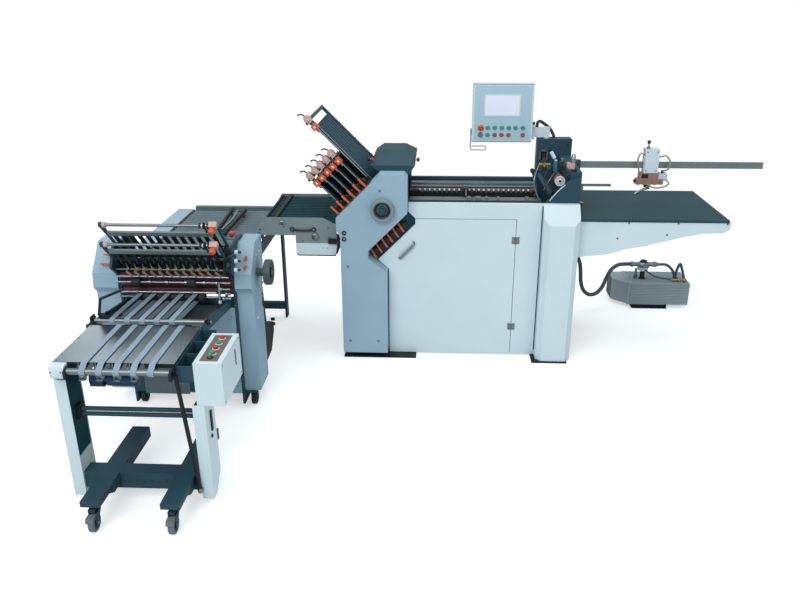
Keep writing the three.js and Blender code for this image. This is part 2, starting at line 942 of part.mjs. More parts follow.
// Feed table on its bracket frame
function buildFeedTable() {
  const x0 = columnWidth + fit;
  const x1 = x0 + tableLength;
  const low = tableTop - tableThick;
  piece("feed_table", bar(x0, x1, 0, tableDepth, low + fit, tableTop), slate());
  const reach = tableLength + bracketOver;
  const knees = kneeLengthShares.map((share, i) =>
    [x0 + reach * share, bracketRoot + (low - bracketRoot) * kneeHeightShares[i]]);
  const end = x0 + reach;
  const side = [[x0, low], [x0, bracketRoot], ...knees, [end, low - bracketEndDrop], [end, low]];
  const y0 = endPlateThick / 2;
  const y1 = tableDepth - y0;
  piece("feed_table_frame", join(
    bar(x0, x0 + endPlateThick, y0, y1, endPlateBottom, low),
    plateXZ(side, y0, y0 + bracketPlate),
    plateXZ(side, y1 - bracketPlate, y1),
    bar(x1 - crossBar, x1 - crossBar / 2, y0, y1, low - crossBar / 2, low),
    bar(x0 + tableLength / 2, x0 + tableLength / 2 + crossBar, y0, y1, low - crossBar, low),
  ), white());
}

// Suction rail on the head beam, with the sliding suction head and its lever
function buildSuction() {
  const x0 = beamLeft + beamWidth + fit;
  const railTop = railBottom + railHeight;
  const railHalf = railThick / 2;
  const rail = bar(x0, x0 + railLength, railY - railHalf, railY + railHalf, railBottom, railTop);
  piece("suction_rail", rail, steel());

  const front = railY + railHalf + headBackWall - headDepth;
  const top = headLow + headTall;
  const section = [[front, headLow], [front + headDepth, headLow], [front + headDepth, top], [front, top]];
  const slotHalf = railHalf + headRailClear;
  const shell = cut(
    plateYZ(section, headX, headX + headWidth),
    bar(headX - overrun, headX + headWidth + overrun, railY - slotHalf, railY + slotHalf,
      railBottom - headRailClear, railTop + headRailClear),
  );
  const centre = headX + headWidth / 2;
  const left = centre - manifoldWidth / 2;
  const low = headLow - manifoldHeight;
  const middle = front + manifoldDepth / 2;
  const nozzle = rod("z", nozzleRadius, low - nozzleLength, low + overrun, centre, middle, fineSides);
  const manifold = bar(left, left + manifoldWidth, front, front + manifoldDepth, low, headLow + fit);
  const leverX = centre - leverOffset;
  const post = rod("z", leverPost, top - fit, top + leverPost, leverX, middle, fineSides);
  piece("suction_head", join(shell, manifold, post, nozzle), white(), [centre, railY, headLow]);

  const pivotZ = top + leverPost + leverBall;
  const stem = rod("z", leverRadius, pivotZ, pivotZ + leverLength, leverX, middle, fineSides);
  const ball = sphere(leverBall - fit, leverX, middle, pivotZ);
  const knob = sphere(leverKnob, leverX, middle, pivotZ + leverLength);
  piece("suction_lever", join(stem, ball, knob), black(), [leverX, middle, pivotZ]);
}

// Control arm on the rear block, the panel that swivels on it, and its stop button
function buildControls() {
  const pivotY = headFront + armPivotBack;
  const base = headBlockTop + fit;
  const armLow = base + armPostHeight;
  const armTop = armLow + armHeight;
  const pinX = armPivotX - armLength;
  const pinHole = rod("z", panelPinRadius + fit, armLow - overrun, armTop + overrun, pinX, pivotY, fineSides);
  const armHalf = armThick / 2;
  const arm = cut(join(
    rod("z", armPostRadius, base, armLow + overrun, armPivotX, pivotY),
    bar(pinX - armNose / 2, armPivotX + armPostRadius, pivotY - armHalf, pivotY + armHalf, armLow, armTop),
  ), pinHole);
  piece("control_arm", arm, white(), [armPivotX, pivotY, base]);

  const back = pivotY - armHalf - screenSetback;
  const right = pinX - armNose / 2 - screenGap;
  const left = right - screenWidth;
  const lugLow = armLow - screenLug / 2;
  const screen = bar(left, right, back - screenDepth, back, screenBottom, screenBottom + screenHeight);
  const lugRight = pinX + panelPinRadius;
  const lugRear = pivotY + panelPinRadius;
  const lugs = [lugLow, armTop + fit].map((z) =>
    bar(right - screenLug, lugRight, back - overrun, lugRear, z, z + screenLug / 2 - fit));
  const pin = rod("z", panelPinRadius, lugLow + fit, armTop + screenLug / 2 - fit, pinX, pivotY, fineSides);
  const x = left + stopInsetX;
  const z = screenBottom + stopRise;
  const face = back - screenDepth;
  const stopHole = rod("y", stopStem + stemClear, face - overrun, face + stemDepth, x, z, fineSides);
  piece("control_panel", cut(join(screen, ...lugs, pin), stopHole), white(), [pinX, pivotY, screenBottom]);
  const button = join(
    rod("y", stopStem, face - stopTravel - overrun, face + fit, x, z, fineSides),
    rod("y", stopButtonRadius, face - stopTravel - stopButtonHeight, face - stopTravel - fit, x, z),
  );
  piece("emergency_button", button, red(), [x, face, z]);

  const route = [
    [conduitX, pivotY, armTop + fit],
    [conduitX, pivotY, armTop + conduitRadius],
    ...conduitPoints,
    [conduitEndX, conduitEndY, base + conduitRadius],
    [conduitEndX, conduitEndY, base],
  ];
  piece("control_conduit", tube(route, conduitRadius, conduitSteps), black());
}

// Round tube along a smooth curve through hand-chosen points
function tube(route, radius, steps) {
  const path = new THREE.CatmullRomCurve3(route.map((point) => new THREE.Vector3(...point)));
  const ring = Array.from({ length: hoseSides }, (_, i) => {
    const angle = (i * tau) / hoseSides;
    return new THREE.Vector2(Math.cos(angle) * radius, Math.sin(angle) * radius);
  });
  return new THREE.ExtrudeGeometry(new THREE.Shape(ring), { steps, bevelEnabled: false, extrudePath: path });
}

// Vacuum pump on the floor behind the feed table, and the hose from the feeder
function buildPump() {
  const x1 = pumpX + pumpLength;
  const rear = pumpY + pumpDepth;
  const plan = [
    [pumpX, pumpY],
    [x1, pumpY],
    [x1, rear],
    [pumpX - pumpNose, rear],
    [pumpX - pumpNose, pumpY + pumpNoseDepth],
  ];
  const baseX = pumpX + pumpBaseInset;
  const baseY = pumpY - pumpBaseProud;
  const filterZ = pumpHeight + filterRise;
  const x = pumpX + filterX;
  const y = pumpY + filterY;
  piece("vacuum_pump", join(
    plateXY(plan, pumpFoot, pumpHeight),
    bar(baseX, baseX + pumpBaseLength, baseY, baseY + pumpBaseDepth, 0, pumpFoot + fit),
    rod("z", filterRadius, pumpHeight - fit, filterZ + portRadius, x, y),
    rod("x", portRadius, x - portLength / 2, x + portLength / 2, y, filterZ),
  ), slate());

  const start = [columnWidth + fit + endPlateThick + fit, hoseStartY, hoseStartZ];
  const endX = x - portLength / 2 - fit;
  const route = [
    start,
    [start[0] + hoseRadius, hoseStartY, hoseStartZ],
    ...hosePoints,
    [endX - hoseRadius, y, filterZ],
    [endX, y, filterZ],
  ];
  piece("pump_hose", tube(route, hoseRadius, hoseSteps), black());
}

// Transfer conveyor bridging to the right-angle unit, with its drive box
function buildTransfer() {
  const x1 = shoulderX - transferGap;
  const x0 = x1 - transferLength;
  const tabLeft = x1 - transferTab;
  const tabBottom = transferBottom - transferTabDrop;
  const side = [
    [x0, transferFoot],
    [tabLeft, transferFoot],
    [tabLeft, tabBottom],
    [x1, tabBottom],
    [x1, transferTop - transferShoulder],
    [x1 - transferRamp, transferTop],
    [x0 + transferNose, transferTop],
    [x0, transferTop - transferNoseDrop],
  ];
  const bedLow = transferBed - transferBedThick;
  const memberLow = transferBottom + memberRise;
  piece("transfer_conveyor", join(
    plateXZ(side, 0, transferPlate),
    plateXZ(side, transferDepth - transferPlate, transferDepth),
    bar(x0 + transferNose, x1, fit, transferDepth - fit, bedLow, transferBed),
    bar(x1 - overrun, frameLeft - fit, bayFront - framePlate, frameRear, bedLow, transferBed),
    bar(x0 + transferNose, x0 + transferRamp, fit, transferDepth - fit, memberLow, bedLow + fit),
  ), slate());
  const boxTop = tabBottom - fit;
  piece("transfer_drive_box",
    bar(tabLeft, tabLeft + driveBoxLength, 0, driveBoxDepth, boxTop - driveBoxHeight, boxTop), white());
}

// Right-angle unit: side plates with legs, ties, wheel brackets and the outfeed arms
const crossInnerRight = -crossRight - framePlate;
const crossInnerLeft = crossInnerRight - crossBay;
const crossOuterLeft = crossInnerLeft - framePlate;
const crossWheelX = [-crossRight + crossWheelInset, crossInnerLeft + crossWheelInset / 2];

function crossSideOutline() {
  const shelf = registerTop - registerThick - fit;
  return [
    [-crossFront, crossFloor],
    [-crossPanelBack, crossFloor],
    [-crossPanelBack, shelf - crossRailDrop],
    [crossRear - crossLegDepth, shelf - crossRailDrop],
    [crossRear - crossLegDepth, 0],
    [crossRear, 0],
    [crossRear, shelf],
    [-crossHeadRear, shelf],
    [-crossHeadRear, crossHeadTop - crossHeadChamfer],
    [-crossHeadRear - crossHeadChamfer, crossHeadTop],
    [-crossHeadFront, crossHeadTop],
    [-crossHeadNose, crossNoseHeight],
    [-crossFront, crossNeckHeight],
  ];
}

function wheelBracket(x, y, axleZ, ceiling, width, axle) {
  const half = width / 2 + fit;
  const cheek = (from) =>
    bar(from, from + wheelCheek, y - wheelBoss, y + wheelBoss, axleZ - wheelBoss, ceiling);
  return [
    cheek(x - half - wheelCheek),
    cheek(x + half),
    rod("x", axle, x - half - fit, x + half + fit, y, axleZ, fineSides),
  ];
}

function buildCrossFrame() {
  const hole = { x: -crossAxisY, y: crossAxisZ, radius: journalRadius + fit };
  const outline = crossSideOutline();
  const ceiling = sideCoverBottom - fit;
  const brackets = crossWheelX.flatMap((x) =>
    wheelBracket(x, -crossWheelY, crossWheelRadius, ceiling - overrun, crossWheelWidth, crossWheelAxle));
  const plateLow = ceiling - overrun - fit;
  const wheelHalf = crossWheelWidth / 2 + wheelCheek + fit;
  const ledge = (from, to) => bar(from, to, -crossFront, -crossFront + crossLegDepth, plateLow, ceiling);
  const ledges = [
    ledge(-crossRight - fit, crossWheelX[0] + wheelHalf),
    ledge(crossInnerLeft - fit, crossWheelX[1] + wheelHalf),
  ];
  const tie = (y, z) =>
    bar(crossInnerLeft - fit, crossInnerRight + fit, y, y + crossTieDepth, z, z + crossTieHeight);
  const armNear = -crossFront + crossTieDepth;
  const armFar = fit - trayRear;
  const arm = [
    [armNear, outfeedLow],
    [armNear, outfeedRoot],
    [armFar, outfeedTip],
    [armFar, outfeedTipLow],
  ];
  const armLeft = crossInnerLeft + outfeedInset;
  const armRight = crossInnerRight - outfeedInset;
  const bedFar = armNear + (armFar - armNear) * outfeedSheetShare;
  const bedTop = outfeedRoot - outfeedSheetDrop;
  const bedTip = bedTop + (outfeedTip - outfeedRoot) * outfeedSheetShare;
  const bed = [
    [armNear, bedTop - outfeedSheet],
    [armNear, bedTop],
    [bedFar, bedTip],
    [bedFar, bedTip - outfeedSheet],
  ];
  const shelf = registerTop - registerThick - fit;
  const saddleTop = transferFoot - fit;
  const saddles = [0, transferDepth - transferPlate].map((y) =>
    bar(crossInnerRight, -crossRight, y - transferPlate, y + saddleDepth, shelf - overrun, saddleTop));
  piece("cross_frame", join(
    plateYZ(outline, crossOuterLeft, crossInnerLeft, [hole]),
    plateYZ(outline, crossInnerRight, -crossRight, [hole]),
    ...ledges,
    ...brackets,
    tie(-crossPanelBack - crossTieDepth, crossLegDepth),
    tie(armNear, upperTieHeight),
    tie(crossRear - crossLegDepth, crossLegDepth),
    tie(outfeedTieInset - crossFront, outfeedLow),
    plateYZ(arm, armLeft, armLeft + outfeedPlate),
    plateYZ(arm, armRight - outfeedPlate, armRight),
    plateYZ(bed, armLeft, armRight),
    ...saddles,
  ), slate());
}

function buildCrossTable() {
  const front = fit - sideCoverBack;
  const left = crossOuterLeft - registerOver;
  const right = -crossRight - registerInset;
  const table = bar(left, right, front, crossRear, registerTop - registerThick, registerTop);
  piece("cross_register_table", table, blueGrey());
}

// Tall side covers of the right-angle unit
function sideCoverOutline() {
  return [
    [-sideCoverFront, sideCoverBottom],
    [-sideCoverFront, sideCoverLip],
    [-sideCoverNose, sideCoverLip + sideCoverLipRise],
    [-sideCoverBrow, sideCoverLip + sideCoverLipRise + sideCoverBand],
    [-sideCoverCrown, sideCoverTop],
    [-sideCoverBack, sideCoverTop],
    [-sideCoverBack, sideCoverBackLow],
    [-sideCoverWaist, sideCoverWaistHeight],
    [-sideCoverRear, sideCoverHip],
    [-sideCoverRear, sideCoverBottom],
  ];
}

function buildCrossCovers() {
  const outline = sideCoverOutline();
  const hollow = inset(outline, sheet);
  const x0 = -crossRight + fit;
  const bore = journalRadius + shaftHoleClear;
  const hole = rod("x", bore, x0, x0 + coverSideWidth + overrun, -crossAxisY, crossAxisZ);
  const right = cut(
    plateYZ(outline, x0, x0 + coverSideWidth),
    plateYZ(hollow, x0 - overrun, x0 + coverSideWidth - sheet),
    hole,
  );
  piece("cross_cover_right", right, blueGrey());
  const x1 = crossOuterLeft - fit;
  const left = cut(
    plateYZ(outline, x1 - coverSideWidthLeft, x1),
    plateYZ(hollow, x1 - coverSideWidthLeft + sheet, x1 + overrun),
  );
  piece("cross_cover_left", left, blueGrey());
}

function buildCrossRollers() {
  const shaftEnd = crossInnerRight + crossShaftReach;
  const body = join(
    rod("x", crossRollerRadius, crossInnerLeft + fit, crossInnerRight - fit, -crossAxisY, crossAxisZ),
    rod("x", journalRadius, crossOuterLeft, shaftEnd, -crossAxisY, crossAxisZ),
  );
  piece("cross_fold_roller", body, steel(), [crossInnerLeft, -crossAxisY, crossAxisZ]);
  const dish = handwheel();
  dish.rotateZ(Math.PI / 2);
  const dishX = shaftEnd - handwheelWidth - fit;
  piece("cross_handwheel", dish, steel()).position.set(dishX, -crossAxisY, crossAxisZ);
}

// Two buckle plates over the right-angle rollers, rising towards the operator
function buildCrossPlates() {
  const roots = [[frontPlateY, frontPlateZ], [rearPlateY, rearPlateZ]];
  crossPlateLengths.forEach((length, i) => {
    const [y, z] = roots[i];
    const half = crossPlateThick / 2;
    const x0 = crossInnerLeft + fit;
    const x1 = crossInnerRight - fit;
    const meter = crossMeter / 2;
    const solid = join(
      bar(x0, x1, 0, length * crossSheetShare, -half, half),
      bar(x0, x0 + plateRail, 0, length, -plateRail / 2, plateRail / 2),
      bar(x1 - plateRail, x1, 0, length, -plateRail / 2, plateRail / 2),
      rod("x", crossPlateRod, x0, x1, length, 0, fineSides),
      bar(x1 - crossMeter, x1, length - crossMeter, length + crossMeter / 2, -meter, meter),
    );
    const mesh = piece(`cross_buckle_plate_${i + 1}`, solid, slate());
    mesh.position.set(0, -y, z);
    mesh.rotation.x = 0.75 * Math.PI;
  });
}

function wheel(name, x, y, radius, width, axle, material) {
  const bore = axle + fit;
  const solid = turned([
    [bore, -width / 2],
    [radius, -width / 2],
    [radius, width / 2],
    [bore, width / 2],
  ]);
  solid.rotateZ(Math.PI / 2);
  piece(name, solid, material).position.set(x, y, radius);
}

function buildCrossWheels() {
  ["right", "left"].forEach((side, i) => {
    const name = `cross_wheel_${side}`;
    wheel(name, crossWheelX[i], -crossWheelY, crossWheelRadius, crossWheelWidth, crossWheelAxle, rubber());
  });
}

// Distances of the stacker's two beams to the left of the datum
const stackerBeams = [columnOuterLeft - beamInsetLeft, columnOuterRight + beamInsetRight];

// Stacker base with its two long beams, cross-beam and rear glides
function buildStackerBase() {
  const low = beamTop - beamDeep;
  const beams = stackerBeams.flatMap((x) => {
    const profile = [
      [-beamFront, beamTop],
      [-beamFront, beamTop - beamTip],
      [-beamFront + tipLength, beamTop - beamTip],
      [-beamFront + tipRamp, low],
      [-beamRear, low],
      [-beamRear, beamTop],
    ];
    return [
      plateYZ(profile, -x - beamSize / 2, -x + beamSize / 2),
      rod("z", glideRadius, 0, low + overrun, -x, -crossBeamFront + crossBeamDepth + glideSetback, fineSides),
    ];
  });
  const x0 = columnSection - columnOuterLeft + fit;
  const x1 = -columnOuterRight - columnSection - fit;
  const bridge = bar(
    x0, x1, -crossBeamFront, -crossBeamFront + crossBeamDepth, beamTop - crossBeamHeight, beamTop - fit);
  piece("stacker_base", join(...beams, bridge), slate());
}

// Stacker columns: channels open towards each other, joined by two tie tubes
function buildStackerColumns() {
  const y0 = -stackerFront;
  const y1 = y0 + columnDeep;
  const leftTop = railLow - fit;
  const channelLow = crossBeamHeight + beamTop;
  const x0 = -columnOuterLeft;
  const left = cut(
    bar(x0, x0 + columnSection, y0, y1, columnFoot, leftTop),
    bar(x0 + sheet, x0 + columnSection + overrun, y0 + sheet, y1 - sheet, channelLow, leftTop + overrun),
  );
  const x2 = -columnOuterRight;
  const profile = [
    [y0, columnFoot],
    [y1 - columnCut, columnFoot],
    [y1, columnFoot + columnCut],
    [y1, boxBottom - fit],
    [y0, boxBottom - fit],
  ];
  const right = cut(
    plateYZ(profile, x2 - columnSection, x2),
    bar(x2 - columnSection - overrun, x2 - sheet, y0 + sheet, y1 - sheet, channelLow, boxBottom + overrun),
  );
  const tieY = y0 + columnDeep / 2;
  const ties = [tieHeight, tieHeight + tiePitch].map((z) =>
    rod("x", tieRadius, x0 + sheet / 2, x2 - sheet - fit, tieY, z, fineSides));
  piece("stacker_column_left", join(left, ...ties), white());
  piece("stacker_column_right", right, white());
}

// Delivery table with its side box, right rail, roller arms and apron
function buildDelivery() {
  const x0 = -trayLeft;
  const x1 = x0 + trayWidth;
  const low = trayTop - trayThick;
  const railRight = -columnOuterRight - boxWidth + boxOverhang - fit;
  const armFront = -trayFront - armReach;
  const rollerY = armFront + armTall / 2;
  const rollerZ = low - armTall / 2 + deliveryRadius / 2;
  const arm = [
    [armFront, low - armTall],
    [-trayFront + armReach, low - armTall],
    [-trayFront + armReach, low + fit],
    [armFront, low + fit],
  ];
  const hole = { x: rollerY, y: rollerZ, radius: deliveryAxle + fit };
  const armLeft = x0 + noseWidth;
  const nose = [
    [-noseRear, noseLow],
    [-noseRear, noseHigh],
    [-noseFront + noseRound, noseHigh],
    [-noseFront, noseHigh - noseRound],
    [-noseFront, noseLow + noseRound],
    [-noseFront + noseRound, noseLow],
  ];
  const apronY = -stackerFront + columnDeep;
  const armRight = x1 - endPlateThick;
  piece("delivery_table", join(
    bar(x0, x1, -trayFront, -trayRear, low, trayTop),
    plateYZ(nose, x0 - noseProud, armLeft + fit),
    bar(x0, columnSection - columnOuterLeft, -stackerFront, apronY, railLow, low + fit),
    bar(x1 - fit, railRight, -stackerFront, -trayRear, railLow, low + fit),
    plateYZ(arm, armLeft, armLeft + endPlateThick, [hole]),
    plateYZ(arm, armRight, armRight + endPlateThick, [hole]),
    bar(x1 - apronWidth, x1, apronY, apronY + apronThick, low - apronDrop, low + fit),
  ), steel());
  piece("delivery_roller", join(
    rod("x", deliveryRadius, armLeft + endPlateThick + fit, armRight - fit, rollerY, rollerZ),
    rod("x", deliveryAxle, armLeft + overrun, armRight + endPlateThick, rollerY, rollerZ, fineSides),
  ), steel(), [armRight, rollerY, rollerZ]);

  const motorX = x0 + motorOffset;
  const motorZ = low - motorHang;
  const neckX = motorX + motorLength / 2;
  const neck = motorNeck / 2;
  piece("delivery_motor", join(
    rod("x", motorRadius, motorX, motorX + motorLength, apronY, motorZ),
    bar(neckX - neck, neckX + neck, apronY - neck, apronY + neck, motorZ, low - fit),
  ), blue());
}

// Control box on the right column, with two of its keys
function buildControlBox() {
  const x0 = -columnOuterRight - boxWidth + boxOverhang;
  const y0 = -stackerFront;
  const top = boxBottom + boxHeight;
  const body = bar(x0, x0 + boxWidth, y0, y0 + boxDepth, boxBottom, top);
  const x = x0 + boxWidth / 2;
  const wells = keyShares.map((depthShare) =>
    rod("z", keyStem + stemClear, top - stemDepth, top + overrun, x, y0 + boxDepth * depthShare, fineSides));
  piece("stacker_control_box", cut(body, ...wells), white());
  ["stop", "start"].forEach((name, i) => {
    const y = y0 + boxDepth * keyShares[i];
    const key = join(
      rod("z", keyStem, top - fit, top + keyTravel + overrun, x, y, fineSides),
      rod("z", keyRadius, top + keyTravel + fit, top + keyTravel + keyHeight, x, y, fineSides),
    );
    const colour = name === "stop" ? red() : finish(0x2f9a78, 0.4, 0);
    piece(`stacker_${name}_button`, key, colour, [x, y, top]);
  });
}

// Front casters: a swivelling fork with its axle pin, and a free wheel on the pin
function buildCasters() {
  ["left", "right"].forEach((side, i) => {
    const x = -stackerBeams[i];
    const y = -beamFront + casterInset;
    const wheelY = y - casterTrail;
    const crown = casterRadius * 2 + casterClear;
    const top = beamTop - beamTip - fit;
    const half = casterWidth / 2 + fit;
    const profile = [
      [wheelY - casterBoss, casterRadius - casterBoss],
      [wheelY + casterBoss, casterRadius - casterBoss],
      [y + casterPlateRadius / 2, crown],
      [y + casterPlateRadius / 2, crown + casterPlate],
      [wheelY - casterBoss, crown + casterPlate],
    ];
    const fork = join(
      rod("z", casterPlateRadius, top - casterPlate, top, x, y),
      bar(x - half - casterCheek, x + half + casterCheek, wheelY - casterBoss, y + casterPlateRadius / 2,
        crown, top - casterPlate + fit),
      plateYZ(profile, x - half - casterCheek, x - half),
      plateYZ(profile, x + half, x + half + casterCheek),
      rod("x", casterAxle, x - half - fit, x + half + fit, wheelY, casterRadius, fineSides),
    );
    piece(`caster_fork_${side}`, fork, steel(), [x, y, top]);
    wheel(`caster_wheel_${side}`, x, wheelY, casterRadius, casterWidth, casterAxle, rubber());
  });
}

buildBase();
buildFrames();
buildRollers();
buildMainHandwheel();
buildFoldCovers();
buildFront();
buildColumn();
buildUpperPlates();
buildLowerPlates();
buildHood();
buildRegisterBed();
buildFeederHead();
buildFeedTable();
buildSuction();
buildControls();
buildPump();
buildTransfer();
buildCrossFrame();
buildCrossTable();
buildCrossCovers();
buildCrossRollers();
buildCrossPlates();
buildCrossWheels();
buildStackerBase();
buildStackerColumns();
buildDelivery();
buildControlBox();
buildCasters();

// Stand the machine centred over its own origin, on the floor
machine.updateMatrixWorld(true);
const reach = new THREE.Box3();
machine.traverse((item) => {
  if (item.isMesh) {
    reach.expandByObject(item, true);
  }
});
const centre = reach.getCenter(new THREE.Vector3());
machine.position.set(-centre.x, -centre.y, -reach.min.z);

export default machine;
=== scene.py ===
"""Combination paper folding machine, dressed for rendering.

The frame brings the solids; this script gives every solid its finish and adds the
small parts that the solids leave out: levers, knobs, belts, balls, valves and screws.
Lengths are working millimetres from the corner column's left edge, the door's front
and the floor; place() carries them to the frame's metres.
"""
import logging
import math
from dataclasses import dataclass
from enum import Enum

import bmesh
import bpy
from mathutils import Matrix, Vector


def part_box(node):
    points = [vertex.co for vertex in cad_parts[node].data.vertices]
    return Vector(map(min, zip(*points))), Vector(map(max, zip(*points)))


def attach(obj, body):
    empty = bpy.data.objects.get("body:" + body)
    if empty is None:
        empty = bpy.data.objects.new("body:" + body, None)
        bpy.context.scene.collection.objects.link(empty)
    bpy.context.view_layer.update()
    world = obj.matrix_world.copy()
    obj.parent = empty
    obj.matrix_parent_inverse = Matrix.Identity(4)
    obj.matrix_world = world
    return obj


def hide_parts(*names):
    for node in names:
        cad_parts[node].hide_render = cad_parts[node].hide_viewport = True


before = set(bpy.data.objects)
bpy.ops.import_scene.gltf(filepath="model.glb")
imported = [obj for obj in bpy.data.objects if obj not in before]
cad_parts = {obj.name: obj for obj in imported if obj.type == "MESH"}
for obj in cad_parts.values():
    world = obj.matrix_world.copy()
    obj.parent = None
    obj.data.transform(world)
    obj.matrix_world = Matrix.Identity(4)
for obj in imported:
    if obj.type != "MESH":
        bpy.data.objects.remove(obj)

log = logging.getLogger("folding_machine")

Point = tuple[float, float, float]
Outline = list[tuple[float, float]]

MILLIMETRE = 0.001
COLUMN_GAP = 0.3
DIAGONAL = math.sqrt(0.5)

# Directions: the front is the side that faces the photograph's viewer, and right is right in it
FRONT: Point = (0, -1, 0)
BACK: Point = (0, 1, 0)
RIGHT: Point = (1, 0, 0)
UP: Point = (0, 0, 1)
DOWN: Point = (0, 0, -1)

# Edges that bend by more than this are rounded; shading breaks over the same bend
SHARP_BEND = 0.6
SOFT_EDGE_SEGMENTS = 2
SOFT_EDGE_ANGLE = math.radians(35)


def working_origin() -> Vector:
    """Gives the frame's place of the working datum, from two solids that touch it.

    Returns:
        The datum in the frame's metres.
    """
    column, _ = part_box("corner_column")
    table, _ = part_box("feed_table")
    return Vector((column.x - COLUMN_GAP * MILLIMETRE, table.y, 0.0))


ORIGIN = working_origin()


def place(point: Point) -> Vector:
    """Carries a point from working millimetres to the frame's metres."""
    return ORIGIN + Vector(point) * MILLIMETRE


def linear(code: str) -> tuple[float, float, float, float]:
    """Turns an sRGB hex code into linear colour with full alpha.

    Args:
        code: six hex digits, red first.

    Returns:
        Red, green, blue and alpha from zero to one.
    """
    shares = [int(code[i : i + 2], 16) / 255 for i in (0, 2, 4)]
    red, green, blue = (s / 12.92 if s <= 0.04045 else ((s + 0.055) / 1.055) ** 2.4 for s in shares)
    return (red, green, blue, 1.0)


def rectangle(x0: float, y0: float, x1: float, y1: float) -> Outline:
    """Gives the corners of a rectangle, in order round it."""
    return [(x0, y0), (x1, y0), (x1, y1), (x0, y1)]


def circle(radius: float, sides: int) -> Outline:
    """Gives the corners of a regular polygon that stands for a circle."""
    turns = [math.tau * i / sides for i in range(sides)]
    return [(radius * math.cos(turn), radius * math.sin(turn)) for turn in turns]


def add_node(tree: bpy.types.NodeTree, kind: str, links: dict | None = None,
             **settings: object) -> bpy.types.Node:
    """Adds one shader node.

    Args:
        tree: the node tree that takes it.
        kind: Blender's type name of the node.
        links: input name or number to a constant, or to an output socket that feeds it.
        settings: attributes of the node.

    Returns:
        The new node.
    """
    node = tree.nodes.new(kind)
    for name, value in settings.items():
        setattr(node, name, value)
    for name, value in (links or {}).items():
        socket = node.inputs[name]
        if isinstance(value, bpy.types.NodeSocket):
            tree.links.new(value, socket)
        else:
            socket.default_value = value
    return node


class Surface(Enum):
    """How a surface was made, which decides the pattern that its finish draws."""

    SPRAYED = "sprayed"
    BRUSHED = "brushed"
    MACHINED = "machined"
    MOULDED = "moulded"
    CAST = "cast"
    WOVEN = "woven"


class Grain(Enum):
    """Direction that the brush marks or threads run in."""

    ALONG_X = (0.04, 1.0, 1.0)
    ALONG_Y = (1.0, 0.04, 1.0)
    ALONG_Z = (1.0, 1.0, 0.04)
    EVEN = (1.0, 1.0, 1.0)


